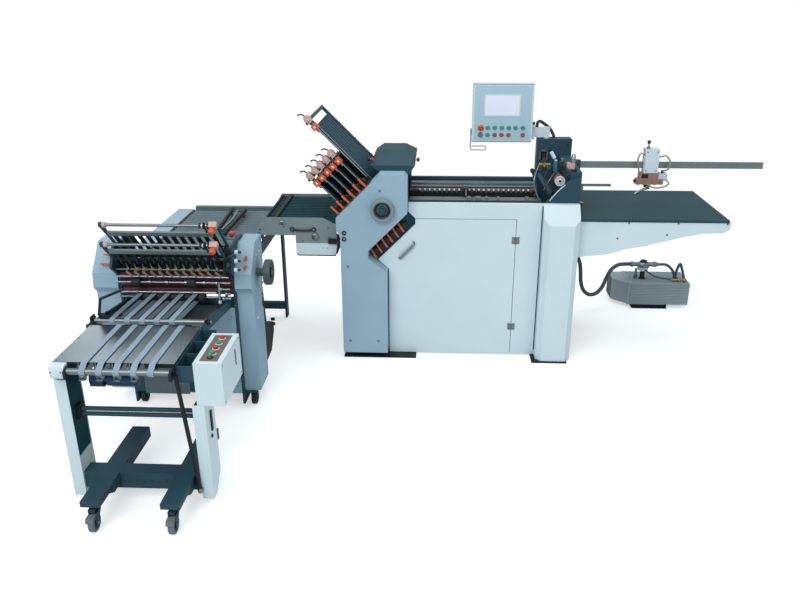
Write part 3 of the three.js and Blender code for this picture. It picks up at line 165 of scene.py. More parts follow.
@dataclass(frozen=True)
class Finish:
    """A material: what it is, how its surface was made, and what use has done to it.

    Attributes:
        name: common name of the material.
        colour: sRGB hex of the clean surface.
        shade: sRGB hex where it is worn, dusty or in the hollows of its pattern.
        surface: how the surface was made.
        size: size of one grain, thread or brush mark in millimetres.
        roughness: lowest and highest roughness over the pattern.
        metallic: one for bare metal.
        relief: height of the pattern in millimetres.
        patch: size of the slow change of tone in millimetres.
        tone: share of the shade that the slow change brings.
        coat: weight of a clear or wet top layer.
        grain: direction of the marks.
        glow: strength of its own light, for lit glass.
        clear: weight of light let through, for clear plastic.
        ior: index of refraction of the top layer.
        mirror: level of the mirror reflection under the colour, lower on matt powder coats.
    """

    name: str
    colour: str
    shade: str
    surface: Surface = Surface.SPRAYED
    size: float = 2.0
    roughness: tuple[float, float] = (0.38, 0.5)
    metallic: float = 0.0
    relief: float = 0.02
    patch: float = 220.0
    tone: float = 0.35
    coat: float = 0.0
    grain: Grain = Grain.EVEN
    glow: float = 0.0
    clear: float = 0.0
    ior: float = 1.5
    mirror: float = 0.5

    def pattern(self, tree: bpy.types.NodeTree, coordinates: bpy.types.NodeSocket) -> bpy.types.NodeSocket:
        """Draws the pattern that the making left.

        Args:
            tree: the material's node tree.
            coordinates: the place on the surface.

        Returns:
            The pattern, as a value from zero to one.
        """
        scale = 1 / (self.size * MILLIMETRE)
        stretch = add_node(tree, "ShaderNodeMapping", {"Vector": coordinates, "Scale": self.grain.value})
        if self.surface is Surface.WOVEN:
            wave = {"Vector": coordinates, "Scale": scale / 6, "Distortion": 0.3}
            warp, weft = (add_node(tree, "ShaderNodeTexWave", wave, bands_direction=way) for way in ("X",
                                                                                                     "Y"))
            crossed = add_node(tree, "ShaderNodeMath", {0: warp.outputs["Fac"], 1: weft.outputs["Fac"]},
                               operation="MULTIPLY")
            return crossed.outputs[0]
        if self.surface in (Surface.MOULDED, Surface.CAST):
            cells = add_node(tree, "ShaderNodeTexVoronoi", {"Vector": stretch.outputs[0], "Scale": scale})
            return cells.outputs["Distance"]
        detail = 4.0 if self.surface in (Surface.BRUSHED, Surface.MACHINED) else 1.5
        marks = add_node(tree, "ShaderNodeTexNoise",
                         {"Vector": stretch.outputs[0], "Scale": scale, "Detail": detail, "Roughness": 0.6})
        return marks.outputs["Fac"]

    def make(self) -> bpy.types.Material:
        """Makes the material once and gives the same one back afterwards.

        Returns:
            The material.
        """
        known = bpy.data.materials.get(self.name)
        if known:
            return known
        material = bpy.data.materials.new(self.name)
        material.use_nodes = True
        tree = material.node_tree
        shader = tree.nodes["Principled BSDF"]
        coordinates = add_node(tree, "ShaderNodeTexCoord").outputs["Object"]
        pattern = self.pattern(tree, coordinates)
        patches = add_node(tree, "ShaderNodeTexNoise",
                           {"Vector": coordinates, "Scale": 1 / (self.patch * MILLIMETRE), "Detail": 3.0})
        slow = add_node(tree, "ShaderNodeMapRange", {
            "Value": patches.outputs["Fac"], "From Min": 0.35, "From Max": 0.75, "To Max": self.tone})
        fine = add_node(tree, "ShaderNodeMapRange", {
            "Value": pattern, "From Min": 0.3, "From Max": 0.8, "To Max": self.tone * 0.7})
        share = add_node(tree, "ShaderNodeMath", {0: slow.outputs[0], 1: fine.outputs[0]}, operation="ADD")
        colour = add_node(tree, "ShaderNodeMix", {
            0: share.outputs[0], 6: linear(self.colour), 7: linear(self.shade)}, data_type="RGBA")
        gloss = add_node(tree, "ShaderNodeMapRange", {
            "Value": pattern, "To Min": self.roughness[0], "To Max": self.roughness[1]})
        bump = add_node(tree, "ShaderNodeBump", {
            "Height": pattern, "Strength": 0.6, "Distance": self.relief * MILLIMETRE})
        tree.links.new(colour.outputs[2], shader.inputs["Base Color"])
        tree.links.new(gloss.outputs[0], shader.inputs["Roughness"])
        tree.links.new(bump.outputs[0], shader.inputs["Normal"])
        shader.inputs["Metallic"].default_value = self.metallic
        shader.inputs["IOR"].default_value = self.ior
        shader.inputs["Coat Weight"].default_value = self.coat
        shader.inputs["Specular IOR Level"].default_value = self.mirror
        if self.clear:
            shader.inputs["Transmission Weight"].default_value = self.clear
        if self.glow:
            tree.links.new(colour.outputs[2], shader.inputs["Emission Color"])
            shader.inputs["Emission Strength"].default_value = self.glow
        return material


# Painted sheet steel, powder coated: a very faint orange peel, the tone cooler where it is handled
WHITE_PAINT = Finish("powder_coat_white", "d2e3ea", "bfd4dd", tone=0.3, roughness=(0.38, 0.48))
BLUE_GREY_PAINT = Finish("powder_coat_blue_grey", "97b5c6", "86a5b8", tone=0.4, roughness=(0.42, 0.54))
SLATE_PAINT = Finish("powder_coat_slate", "2a4a57", "22404c", tone=0.5, roughness=(0.46, 0.6), patch=140,
                     mirror=0.25)
PUMP_PAINT = Finish("powder_coat_pump_slate", "a0adb5", "909ea6", tone=0.5, roughness=(0.45, 0.6), patch=140)
SOOT_PAINT = Finish("enamel_black", "141b1e", "1f272b", tone=0.5, roughness=(0.45, 0.6), patch=90, mirror=0.3)
BENCH_PAINT = Finish("powder_coat_table_slate", "25434c", "2e4e58", tone=0.5, roughness=(0.5, 0.64),
                     patch=330, mirror=0.2)
TEAL_PAINT = Finish("powder_coat_dark_teal", "0b3a42", "155056", tone=0.5, roughness=(0.5, 0.64), patch=60,
                    mirror=0.12)
BLUE_ENAMEL = Finish("enamel_motor_blue", "1b466f", "12304f", tone=0.5, roughness=(0.35, 0.5), patch=60)
CYAN_ENAMEL = Finish("enamel_cylinder_blue", "1f6488", "174c68", tone=0.5, roughness=(0.35, 0.5), patch=30)
GREY_PAINT = Finish("powder_coat_mid_grey", "667a80", "54666c", tone=0.5, roughness=(0.42, 0.55), patch=120)
WHEEL_PAINT = Finish("powder_coat_wheel_grey", "495754", "3a4644", tone=0.5, roughness=(0.42, 0.56), patch=90,
                     mirror=0.35)
# Anodised label plate: matt, with a faint warm mottle where fingers touch it
TAUPE_ANODISED = Finish("anodised_label_plate", "75655d", "665650", tone=0.4, roughness=(0.45, 0.55),
                        patch=60)
# Hammer paint: small round dimples that break up every reflection
OLIVE_PAINT = Finish("hammer_paint_olive_grey", "829294", "68787b", Surface.CAST, 3.0, (0.38, 0.52),
                     relief=0.08)
# Bare metals: brushed sheet shows long fine lines, turned bar a tighter and brighter gloss
STAINLESS = Finish("stainless_steel_brushed", "98a5ac", "75828a", Surface.BRUSHED, 0.8, (0.24, 0.38), 1.0,
                   0.01, grain=Grain.ALONG_Y, tone=0.45)
BED_STEEL = Finish("stainless_steel_bed", "9ca8ae", "778288", Surface.BRUSHED, 1.8, (0.3, 0.46), 1.0, 0.02,
                   grain=Grain.ALONG_X, tone=0.5, patch=120)
ROLLER_STEEL = Finish("ground_roller_steel", "8b979b", "697377", Surface.MACHINED, 3.0, (0.36, 0.48), 1.0,
                      0.002, tone=0.4, patch=90)
CHROME = Finish("chromed_steel", "9fa9ad", "808a8e", Surface.MACHINED, 4.0, (0.24, 0.36), 1.0, 0.002,
                tone=0.3)
TURNED_STEEL = Finish("turned_steel", "889295", "666f72", Surface.MACHINED, 1.2, (0.34, 0.48), 1.0, 0.015,
                      patch=50)
ALUMINIUM = Finish("aluminium_extruded", "8f999c", "70797c", Surface.BRUSHED, 1.2, (0.32, 0.44), 1.0, 0.015,
                   grain=Grain.ALONG_X, tone=0.4, patch=90)
BRASS = Finish("brass_fitting", "ab9560", "7f6c42", Surface.MACHINED, 1.0, (0.28, 0.42), 1.0, 0.01, patch=20)
# Rose skins over cast and machined parts: satin, partly metallic, darker in the grain
COPPER_COAT = Finish("anodised_rose", "b08c80", "8a6a60", Surface.MACHINED, 1.5, (0.34, 0.48), 0.7, 0.02,
                     patch=30)
PALE_ROSE = Finish("diecast_rose_lacquer", "cfaea6", "ab877d", Surface.CAST, 1.2, (0.42, 0.56), 0.2, 0.04,
                   patch=20)
# Moulded plastics: an even fine grain and a soft sheen, the tone duller where they are touched
ORANGE_PLASTIC = Finish("moulded_nylon_orange", "e0602e", "bb4b20", Surface.MOULDED, 0.6, (0.4, 0.5),
                        patch=18)
BLACK_PLASTIC = Finish("moulded_abs_black", "171c1f", "262c2f", Surface.MOULDED, 0.8, (0.48, 0.6), patch=40)
RED_PLASTIC = Finish("moulded_abs_red", "cf3530", "a32522", Surface.MOULDED, 0.5, (0.25, 0.35), coat=0.3,
                     patch=25)
GREEN_PLASTIC = Finish("moulded_abs_green", "24a184", "187a66", Surface.MOULDED, 0.5, (0.25, 0.35),
                       coat=0.3, patch=25)
YELLOW_PLASTIC = Finish("moulded_abs_yellow", "d9c736", "b09d24", Surface.MOULDED, 0.5, (0.35, 0.5), patch=20)
WHITE_PLASTIC = Finish("moulded_acetal_white", "dde4e6", "c2cbce", Surface.MOULDED, 0.5, (0.28, 0.42),
                       patch=25)
BLUE_WHITE_PLASTIC = Finish("moulded_abs_pale_blue", "c7dbe6", "a9c2d0", Surface.MOULDED, 0.5, (0.3, 0.42),
                            patch=25)
# Rubbers, hoses and woven belts: matt, with dust in the hollows of their weave or grain
OLIVE_RUBBER = Finish("polyurethane_olive", "8d8b35", "6b6a28", Surface.MOULDED, 0.5, (0.45, 0.6), patch=20)
RED_RUBBER = Finish("feed_tyre_red", "ad4656", "8a3342", Surface.MOULDED, 0.6, (0.5, 0.65), patch=25)
MAROON_RUBBER = Finish("roller_rubber_maroon", "5c2c38", "2f171d", Surface.WOVEN, 1.2, (0.55, 0.7),
                       relief=0.3, patch=30)
BELT_CANVAS = Finish("belt_canvas_grey_blue", "92a6b6", "708593", Surface.WOVEN, 0.9, (0.6, 0.75),
                     relief=0.08, patch=60)
BLACK_RUBBER = Finish("rubber_black", "171a1c", "292c2e", Surface.MOULDED, 1.0, (0.6, 0.78), relief=0.04,
                      patch=50)
GREY_RUBBER = Finish("rubber_tread_grey", "6c7478", "535a5e", Surface.MOULDED, 1.2, (0.6, 0.75), relief=0.05,
                     patch=30)
HOSE_RUBBER = Finish("hose_rubber_black", "1f2427", "31373b", Surface.WOVEN, 1.0, (0.5, 0.65), relief=0.1,
                     patch=60)
SLATE_HOSE = Finish("hose_pvc_slate", "465660", "38474f", Surface.WOVEN, 1.0, (0.45, 0.6), relief=0.05,
                    patch=60)
BEIGE_HOSE = Finish("hose_polyurethane_beige", "9a9a8e", "7f8076", Surface.MOULDED, 1.0, (0.4, 0.55),
                    patch=60)
# The lit screen glows faintly under smooth glass; the foil round it is a matt print
SCREEN_GLASS = Finish("screen_glass_lit", "dcdff0", "c9d3ea", Surface.MACHINED, 6.0, (0.1, 0.16), glow=0.2,
                      patch=90, relief=0.001, tone=0.4)
PANEL_FOIL = Finish("printed_foil_light_blue", "afcfde", "a0c2d3", Surface.MOULDED, 0.6, (0.42, 0.52),
                    patch=120, relief=0.01)


class Form:
    """One piece of the scene, gathered from closed shapes with a finish each."""

    def __init__(self, name: str, body: str = "machine", pose: Matrix | None = None) -> None:
        """Starts an empty piece.

        Args:
            name: name of the piece.
            body: body of the frame that it rides on.
            pose: turn and shift, in working millimetres, for the shapes that follow.
        """
        self.name = name
        self.body = body
        self.pose = pose or Matrix.Identity(4)
        self.points: list[Vector] = []
        self.faces: list[tuple[int, ...]] = []
        self.kinds: list[int] = []
        self.finishes: list[Finish] = []

    def take(self, shape: bmesh.types.BMesh, finish: Finish) -> "Form":
        """Adds one closed shape and frees it.

        Args:
            shape: the shape, in working millimetres.
            finish: its finish.

        Returns:
            The piece.
        """
        bmesh.ops.recalc_face_normals(shape, faces=shape.faces)
        if finish not in self.finishes:
            self.finishes.append(finish)
        kind = self.finishes.index(finish)
        first = len(self.points)
        shape.verts.index_update()
        self.points += [place(self.pose @ vert.co) for vert in shape.verts]
        for face in shape.faces:
            self.faces.append(tuple(first + vert.index for vert in face.verts))
            self.kinds.append(kind)
        shape.free()
        return self

    def hull(self, rings: list[list[Point]], finish: Finish, edge: float = 0.0,
             closed: bool = False) -> "Form":
        """Joins rings of equal count into one skin, capped at both ends unless it closes on itself.

        Args:
            rings: rings of points, in order along the skin.
            finish: its finish.
            edge: width in millimetres of the rounding on sharp edges.
            closed: the last ring is joined to the first.

        Returns:
            The piece.
        """
        shape = bmesh.new()
        loops = [[shape.verts.new(point) for point in ring] for ring in rings]
        pairs = list(zip(loops, loops[1:])) + ([(loops[-1], loops[0])] if closed else [])
        for one, two in pairs:
            for i, vert in enumerate(one):
                j = (i + 1) % len(one)
                shape.faces.new((vert, one[j], two[j], two[i]))
        if not closed:
            shape.faces.new(loops[0])
            shape.faces.new(loops[-1])
        if edge:
            sharp = [e for e in shape.edges if e.calc_face_angle(0.0) > SHARP_BEND]
            bmesh.ops.bevel(shape, geom=sharp, offset=edge, segments=SOFT_EDGE_SEGMENTS, affect="EDGES",
                            clamp_overlap=True)
        return self.take(shape, finish)

    def block(self, low: Point, high: Point, finish: Finish, edge: float = 0.8) -> "Form":
        """Adds a box with rounded edges.

        Args:
            low: its lower corner.
            high: its upper corner.
            finish: its finish.
            edge: width of the rounding in millimetres.

        Returns:
            The piece.
        """
        (x0, y0, z0), (x1, y1, z1) = low, high
        ring = rectangle(x0, y0, x1, y1)
        return self.hull([[(x, y, z) for x, y in ring] for z in (z0, z1)], finish, edge)

    def prism(self, outline: Outline, axis: str, near: float, far: float, finish: Finish,
              edge: float = 0.8) -> "Form":
        """Adds a plate.

        Args:
            outline: its outline over the two other axes, in the order X, Y, Z.
            axis: "x", "y" or "z", the axis that the plate lies across.
            near: its lower face along the axis.
            far: its upper face along the axis.
            finish: its finish.
            edge: width of the rounding in millimetres.

        Returns:
            The piece.
        """
        order = {"x": (2, 0, 1), "y": (0, 2, 1), "z": (0, 1, 2)}[axis]
        rings = [[(a, b, c) for a, b in outline] for c in (near, far)]
        return self.hull([[tuple(corner[i] for i in order) for corner in ring] for ring in rings], finish,
                         edge)

    def holed(self, low: Point, high: Point, hole: tuple[float, float, float], finish: Finish) -> "Form":
        """Adds a level plate with a square hole right through it.

        Args:
            low: its lower corner.
            high: its upper corner.
            hole: middle of the hole and half its width.
            finish: its finish.

        Returns:
            The piece.
        """
        (x0, y0, z0), (x1, y1, z1) = low, high
        x, y, half = hole
        outer = rectangle(x0, y0, x1, y1)
        inner = rectangle(x - half, y - half, x + half, y + half)
        levels = ((outer, z0), (outer, z1), (inner, z1), (inner, z0))
        return self.hull([[(a, b, z) for a, b in ring] for ring, z in levels], finish, closed=True)

    def turned(self, start: Point, end: Point, profile: Outline, finish: Finish, sides: int = 20,
               ring: bool = False) -> "Form":
        """Adds a turned shape.

        Args:
            start: where the axis starts.
            end: any point further along the axis.
            profile: pairs of place along the axis in millimetres and radius.
            finish: its finish.
            sides: facets round it.
            ring: the profile closes on itself round a bore.

        Returns:
            The piece.
        """
        along = (Vector(end) - Vector(start)).normalized()
        turn = along.to_track_quat("Z", "Y")
        rings = []
        for reach, radius in profile:
            centre = Vector(start) + along * reach
            spokes = [turn @ Vector((a, b, 0.0)) for a, b in circle(1.0, sides)]
            rings.append([tuple(centre + spoke * max(radius, 0.01)) for spoke in spokes])
        return self.hull(rings, finish, closed=ring)

    def rod(self, start: Point, end: Point, radius: float, finish: Finish, sides: int = 16) -> "Form":
        """Adds a round bar, its ends chamfered by at most a millimetre.

        Args:
            start: middle of one end.
            end: middle of the other.
            radius: its radius.
            finish: its finish.
            sides: facets round it.

        Returns:
            The piece.
        """
        length = (Vector(end) - Vector(start)).length
        lip = min(radius * 0.15, length * 0.2, 1.0)
        profile = [(0, radius - lip), (lip, radius), (length - lip, radius), (length, radius - lip)]
        return self.turned(start, end, profile, finish, sides)

    def ball(self, centre: Point, radius: float, finish: Finish, sides: int = 14) -> "Form":
        """Adds a ball.

        Args:
            centre: its middle.
            radius: its radius.
            finish: its finish.
            sides: facets round it; half as many go from pole to pole.

        Returns:
            The piece.
        """
        steps = max(sides // 2, 5)
        profile = [(radius - radius * math.cos(math.pi * i / steps), radius * math.sin(math.pi * i / steps))
                   for i in range(steps + 1)]
        x, y, z = centre
        return self.turned((x, y, z - radius), (x, y, z), profile, finish, sides)

    def screw(self, at: Point, out: Point, radius: float, finish: Finish) -> "Form":
        """Adds a button-head socket screw that stands out of a face.

        Args:
            at: middle of the screw, on the face.
            out: direction that its head points in.
            radius: radius of the head.
            finish: its finish.

        Returns:
            The piece.
        """
        tip = tuple(Vector(at) + Vector(out))
        profile = [(-radius * 0.3, radius), (radius * 0.25, radius), (radius * 0.6, radius * 0.7),
                   (radius * 0.62, radius * 0.42), (radius * 0.3, radius * 0.36)]
        return self.turned(at, tip, profile, finish, 12)

    def sweep(self, route: list[Point], section: Outline, finish: Finish, up: Point = UP,
              closed: bool = False) -> "Form":
        """Carries a section along a route.

        Args:
            route: points that the section passes.
            section: its outline, across the route.
            finish: its finish.
            up: direction that the section's second axis points in.
            closed: the route ends where it starts.

        Returns:
            The piece.
        """
        rings = []
        count = len(route)
        for i, point in enumerate(route):
            before = Vector(route[(i - 1) % count if closed else max(i - 1, 0)])
            after = Vector(route[(i + 1) % count if closed else min(i + 1, count - 1)])
            along = (after - before).normalized()
            side = along.cross(Vector(up)).normalized()
            rise = side.cross(along)
            rings.append([tuple(Vector(point) + side * a + rise * b) for a, b in section])
        return self.hull(rings, finish, closed=closed)

    def tube(self, route: list[Point], radius: float, finish: Finish, sides: int = 10, up: Point = UP,
             steps: int = 0) -> "Form":
        """Adds a round tube along a route.

        Args:
            route: points that its middle line passes.
            radius: its radius.
            finish: its finish.
            sides: facets round it.
            up: any direction that the route never takes.
            steps: points that a smooth curve gets between two of the route; zero keeps it straight.

        Returns:
            The piece.
        """
        if steps:
            route = smooth_route(route, steps)
        return self.sweep(route, circle(radius, sides), finish, up)

    def belt(self, at: float, loop: Outline, width: float, thick: float, finish: Finish) -> "Form":
        """Adds an endless flat belt, its width along X.

        Args:
            at: X of its middle line.
            loop: Y and Z of the points that it passes, in order round it.
            width: its width.
            thick: its thickness.
            finish: its finish.

        Returns:
            The piece.
        """
        a, b = thick / 2, width / 2
        route = [(at, y, z) for y, z in loop]
        return self.sweep(route, rectangle(-a, -b, a, b), finish, up=RIGHT, closed=True)

    def done(self, *nodes: str, slot: str | None = None, bend: float = SHARP_BEND) -> bpy.types.Object:
        """Makes the piece.

        Args:
            nodes: solids that it stands for.
            slot: name of a material slot of the record; not used.
            bend: angle in radians under which two faces are shaded as one.

        Returns:
            The piece, riding on its body.
        """
        mesh = bpy.data.meshes.new(self.name)
        mesh.from_pydata(self.points, [], self.faces)
        for finish in self.finishes:
            mesh.materials.append(finish.make())
        mesh.polygons.foreach_set("material_index", self.kinds)
        mesh.shade_smooth()
        mesh.set_sharp_from_angle(angle=bend)
        made = bpy.data.objects.new(self.name, mesh)
        bpy.context.collection.objects.link(made)
        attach(made, self.body)
        if nodes:
            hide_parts(*nodes)
        log.info("%s: %d faces", self.name, len(self.faces))
        return made


def smooth_route(route: list[Point], steps: int) -> list[Point]:
    """Smooths a route with a centripetal curve through all its points.

    Args:
        route: points that the curve passes.
        steps: points on each span between two of them.

    Returns:
        Points along the curve, both ends with them.
    """
    ends = [Vector(route[0]) * 2 - Vector(route[1]), Vector(route[-1]) * 2 - Vector(route[-2])]
    known = [ends[0], *[Vector(point) for point in route], ends[1]]
    made = []
    for a, b, c, d in zip(known, known[1:], known[2:], known[3:]):
        before, span, after = (math.sqrt((q - p).length) for p, q in ((a, b), (b, c), (c, d)))
        leave = ((b - a) / before - (c - a) / (before + span) + (c - b) / span) * span
        arrive = ((c - b) / span - (d - b) / (span + after) + (d - c) / after) * span
        for i in range(steps):
            t = i / steps
            made.append(tuple(b + leave * t + (3 * (c - b) - 2 * leave - arrive) * t * t
                              + (2 * (b - c) + leave + arrive) * t ** 3))
    return [*made, tuple(route[-1])]


def dress(node: str, finish: Finish, edge: float = 1.5) -> None:
    """Gives a solid of the frame its finish and softens its sharp edges.

    Args:
        node: name of the solid.
        finish: its finish.
        edge: width of the softening in millimetres; zero leaves the edges sharp.
    """
    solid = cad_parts[node]
    solid.data.materials.clear()
    solid.data.materials.append(finish.make())
    if edge:
        bevel = solid.modifiers.new("soft_edges", "BEVEL")
        bevel.width = edge * MILLIMETRE
        bevel.segments = SOFT_EDGE_SEGMENTS
        bevel.limit_method = "ANGLE"
        bevel.angle_limit = SOFT_EDGE_ANGLE
        bevel.harden_normals = True


@dataclass
class Studio:
    """Camera at the photograph's place, square soft lamps, and a pale floor.

    Attributes:
        eye: the camera's place, in working millimetres.
        pitch: its turn downwards in radians.
        yaw: its turn to the right in radians.
        roll: its tilt round the line of sight in radians.
        focal_pixels: focal length in pixels of the photograph.
        image_width: width of the photograph in pixels.
        sensor: width of the camera's sensor in millimetres.
        far_clip: where the camera's view ends, in metres.
        floor_reach: half the floor's width in metres.
        fade_from: how far from its middle the floor starts to fade, in metres.
        fade_to: how far from its middle the floor has gone, in metres.
        floor_lift: strength of the light that makes the floor read white.
        lamps: name, place and aim in metres, width in metres and power in watts of each lamp.
    """

    eye: Point = (-573.5, -4015.5, 1968.6)
    pitch: float = 0.3859
    yaw: float = -0.0496
    roll: float = -0.0033
    focal_pixels: float = 763.888
    image_width: float = 800.0
    sensor: float = 36.0
    far_clip: float = 60.0
    floor_reach: float = 9.0
    fade_from: float = 2.1
    fade_to: float = 4.6
    floor_lift: float = 0.5
    lamps: tuple[tuple[str, Point, Point, float, float], ...] = (
        ("key_lamp", (-2.2, -4.5, 4.6), (-0.2, 0.0, 0.7), 3.6, 166.0),
        ("fill_lamp", (3.6, -3.6, 3.2), (0.3, 0.0, 0.8), 3.2, 32.0),
        ("tray_lamp", (-2.85, 2.46, 2.3), (-1.35, -0.9, 0.65), 1.2, 6.0),
        ("top_lamp", (0.2, 0.8, 4.8), (0.0, 0.2, 0.7), 3.6, 74.0),
    )

    def camera(self) -> None:
        """Makes the camera and points it as the photograph's."""
        data = bpy.data.cameras.new("camera")
        data.sensor_width = self.sensor
        data.lens = self.focal_pixels * self.sensor / self.image_width
        data.clip_end = self.far_clip
        ahead = Vector((math.sin(self.yaw) * math.cos(self.pitch), math.cos(self.yaw) * math.cos(self.pitch),
                        -math.sin(self.pitch)))
        level = Vector((math.cos(self.yaw), -math.sin(self.yaw), 0.0))
        lifted = level.cross(ahead)
        right = level * math.cos(self.roll) + lifted * math.sin(self.roll)
        top = lifted * math.cos(self.roll) - level * math.sin(self.roll)
        made = bpy.data.objects.new("camera", data)
        turn = Matrix((right, top, -ahead)).transposed().to_4x4()
        made.matrix_world = Matrix.Translation(place(self.eye)) @ turn
        bpy.context.collection.objects.link(made)
        bpy.context.scene.camera = made

    def lamp(self, name: str, at: Point, aim: Point, size: float, power: float) -> None:
        """Makes one square soft lamp.

        Args:
            name: its name.
            at: its place in metres.
            aim: the point that it shines at, in metres.
            size: its width in metres.
            power: its power in watts.
        """
        data = bpy.data.lights.new(name, "AREA")
        data.size = size
        data.energy = power
        made = bpy.data.objects.new(name, data)
        made.location = at
        made.rotation_euler = (Vector(aim) - Vector(at)).to_track_quat("-Z", "Y").to_euler()
        bpy.context.collection.objects.link(made)

    def shows_backdrop(self, tree: bpy.types.NodeTree) -> bpy.types.NodeSocket:
        """Tells the rays that show the backdrop: from the camera or through clear plastic.

        Args:
            tree: node tree of the world or of the floor.

        Returns:
            One for such a ray, else zero.
        """
        path = add_node(tree, "ShaderNodeLightPath")
        both = add_node(tree, "ShaderNodeMath", {
            0: path.outputs["Is Camera Ray"], 1: path.outputs["Is Transmission Ray"]}, operation="MAXIMUM")
        return both.outputs[0]

    def world(self) -> None:
        """Sets a plain white backdrop and an even fill from all round."""
        world = bpy.data.worlds.new("studio")
        world.use_nodes = True
        bpy.context.scene.world = world
        tree = world.node_tree
        tree.nodes.clear()
        fill = add_node(tree, "ShaderNodeBackground", {"Color": linear("e9f0f2"), "Strength": 0.6})
        plain = add_node(tree, "ShaderNodeBackground", {"Color": linear("ffffff"), "Strength": 1.0})
        mix = add_node(tree, "ShaderNodeMixShader", {
            0: self.shows_backdrop(tree), 1: fill.outputs[0], 2: plain.outputs[0]})
        add_node(tree, "ShaderNodeOutputWorld", {"Surface": mix.outputs[0]})

    def floor(self) -> None:
        """Lays a pale floor that reads white and keeps the machine's shadow."""
        shape = bmesh.new()
        bmesh.ops.create_grid(shape, x_segments=8, y_segments=8, size=self.floor_reach)
        mesh = bpy.data.meshes.new("floor")
        shape.to_mesh(mesh)
        shape.free()
        material = bpy.data.materials.new("floor_pale")
        material.use_nodes = True
        tree = material.node_tree
        tree.nodes.clear()
        coordinates = add_node(tree, "ShaderNodeTexCoord").outputs["Object"]
        dust = add_node(tree, "ShaderNodeTexNoise", {"Vector": coordinates, "Scale": 1.2, "Detail": 4.0})
        tone = add_node(tree, "ShaderNodeMix", {
            0: dust.outputs["Fac"], 6: linear("dfe3e5"), 7: linear("e9ecee")}, data_type="RGBA")
        matt = add_node(tree, "ShaderNodeBsdfDiffuse", {"Color": tone.outputs[2]})
        lit = add_node(tree, "ShaderNodeEmission", {"Color": linear("ffffff"), "Strength": self.floor_lift})
        lifted = add_node(tree, "ShaderNodeAddShader", {0: matt.outputs[0], 1: lit.outputs[0]})
        mix = add_node(tree, "ShaderNodeMixShader", {
            0: self.shows_backdrop(tree), 1: matt.outputs[0], 2: lifted.outputs[0]})
        reach = add_node(tree, "ShaderNodeVectorMath", {0: coordinates}, operation="LENGTH")
        fade = add_node(tree, "ShaderNodeMapRange", {
            "Value": reach.outputs["Value"], "From Min": self.fade_from, "From Max": self.fade_to})
        clear = add_node(tree, "ShaderNodeBsdfTransparent")
        edge = add_node(tree, "ShaderNodeMixShader", {
            0: fade.outputs[0], 1: mix.outputs[0], 2: clear.outputs[0]})
        add_node(tree, "ShaderNodeOutputMaterial", {"Surface": edge.outputs[0]})
        mesh.materials.append(material)
        made = bpy.data.objects.new("floor", mesh)
        bpy.context.collection.objects.link(made)

    def build(self) -> None:
        """Builds the whole studio."""
        self.camera()
        self.world()
        self.floor()
        for settings in self.lamps:
            self.lamp(*settings)
        bpy.context.scene.view_settings.view_transform = "Standard"


@dataclass
class FreeHose:
    """A hose or conduit that goes from one fitting of the machine to another.

    Attributes:
        node: the solid that it stands for.
        route: points that its middle line passes.
        radius: its radius.
        finish: its finish.
        form_slot: name of a material slot of the record, passed on when the piece is made.
        steps: points of the curve between two of the route.
    """

    node: str
    route: list[Point]
    radius: float
    finish: Finish
    form_slot: str
    steps: int = 12

    def build(self) -> None:
        path = smooth_route(self.route, self.steps)
        form = Form(f"{self.node}_rubber").tube(path, self.radius, self.finish, 16, up=BACK)
        made = form.done(self.node, slot=self.form_slot)


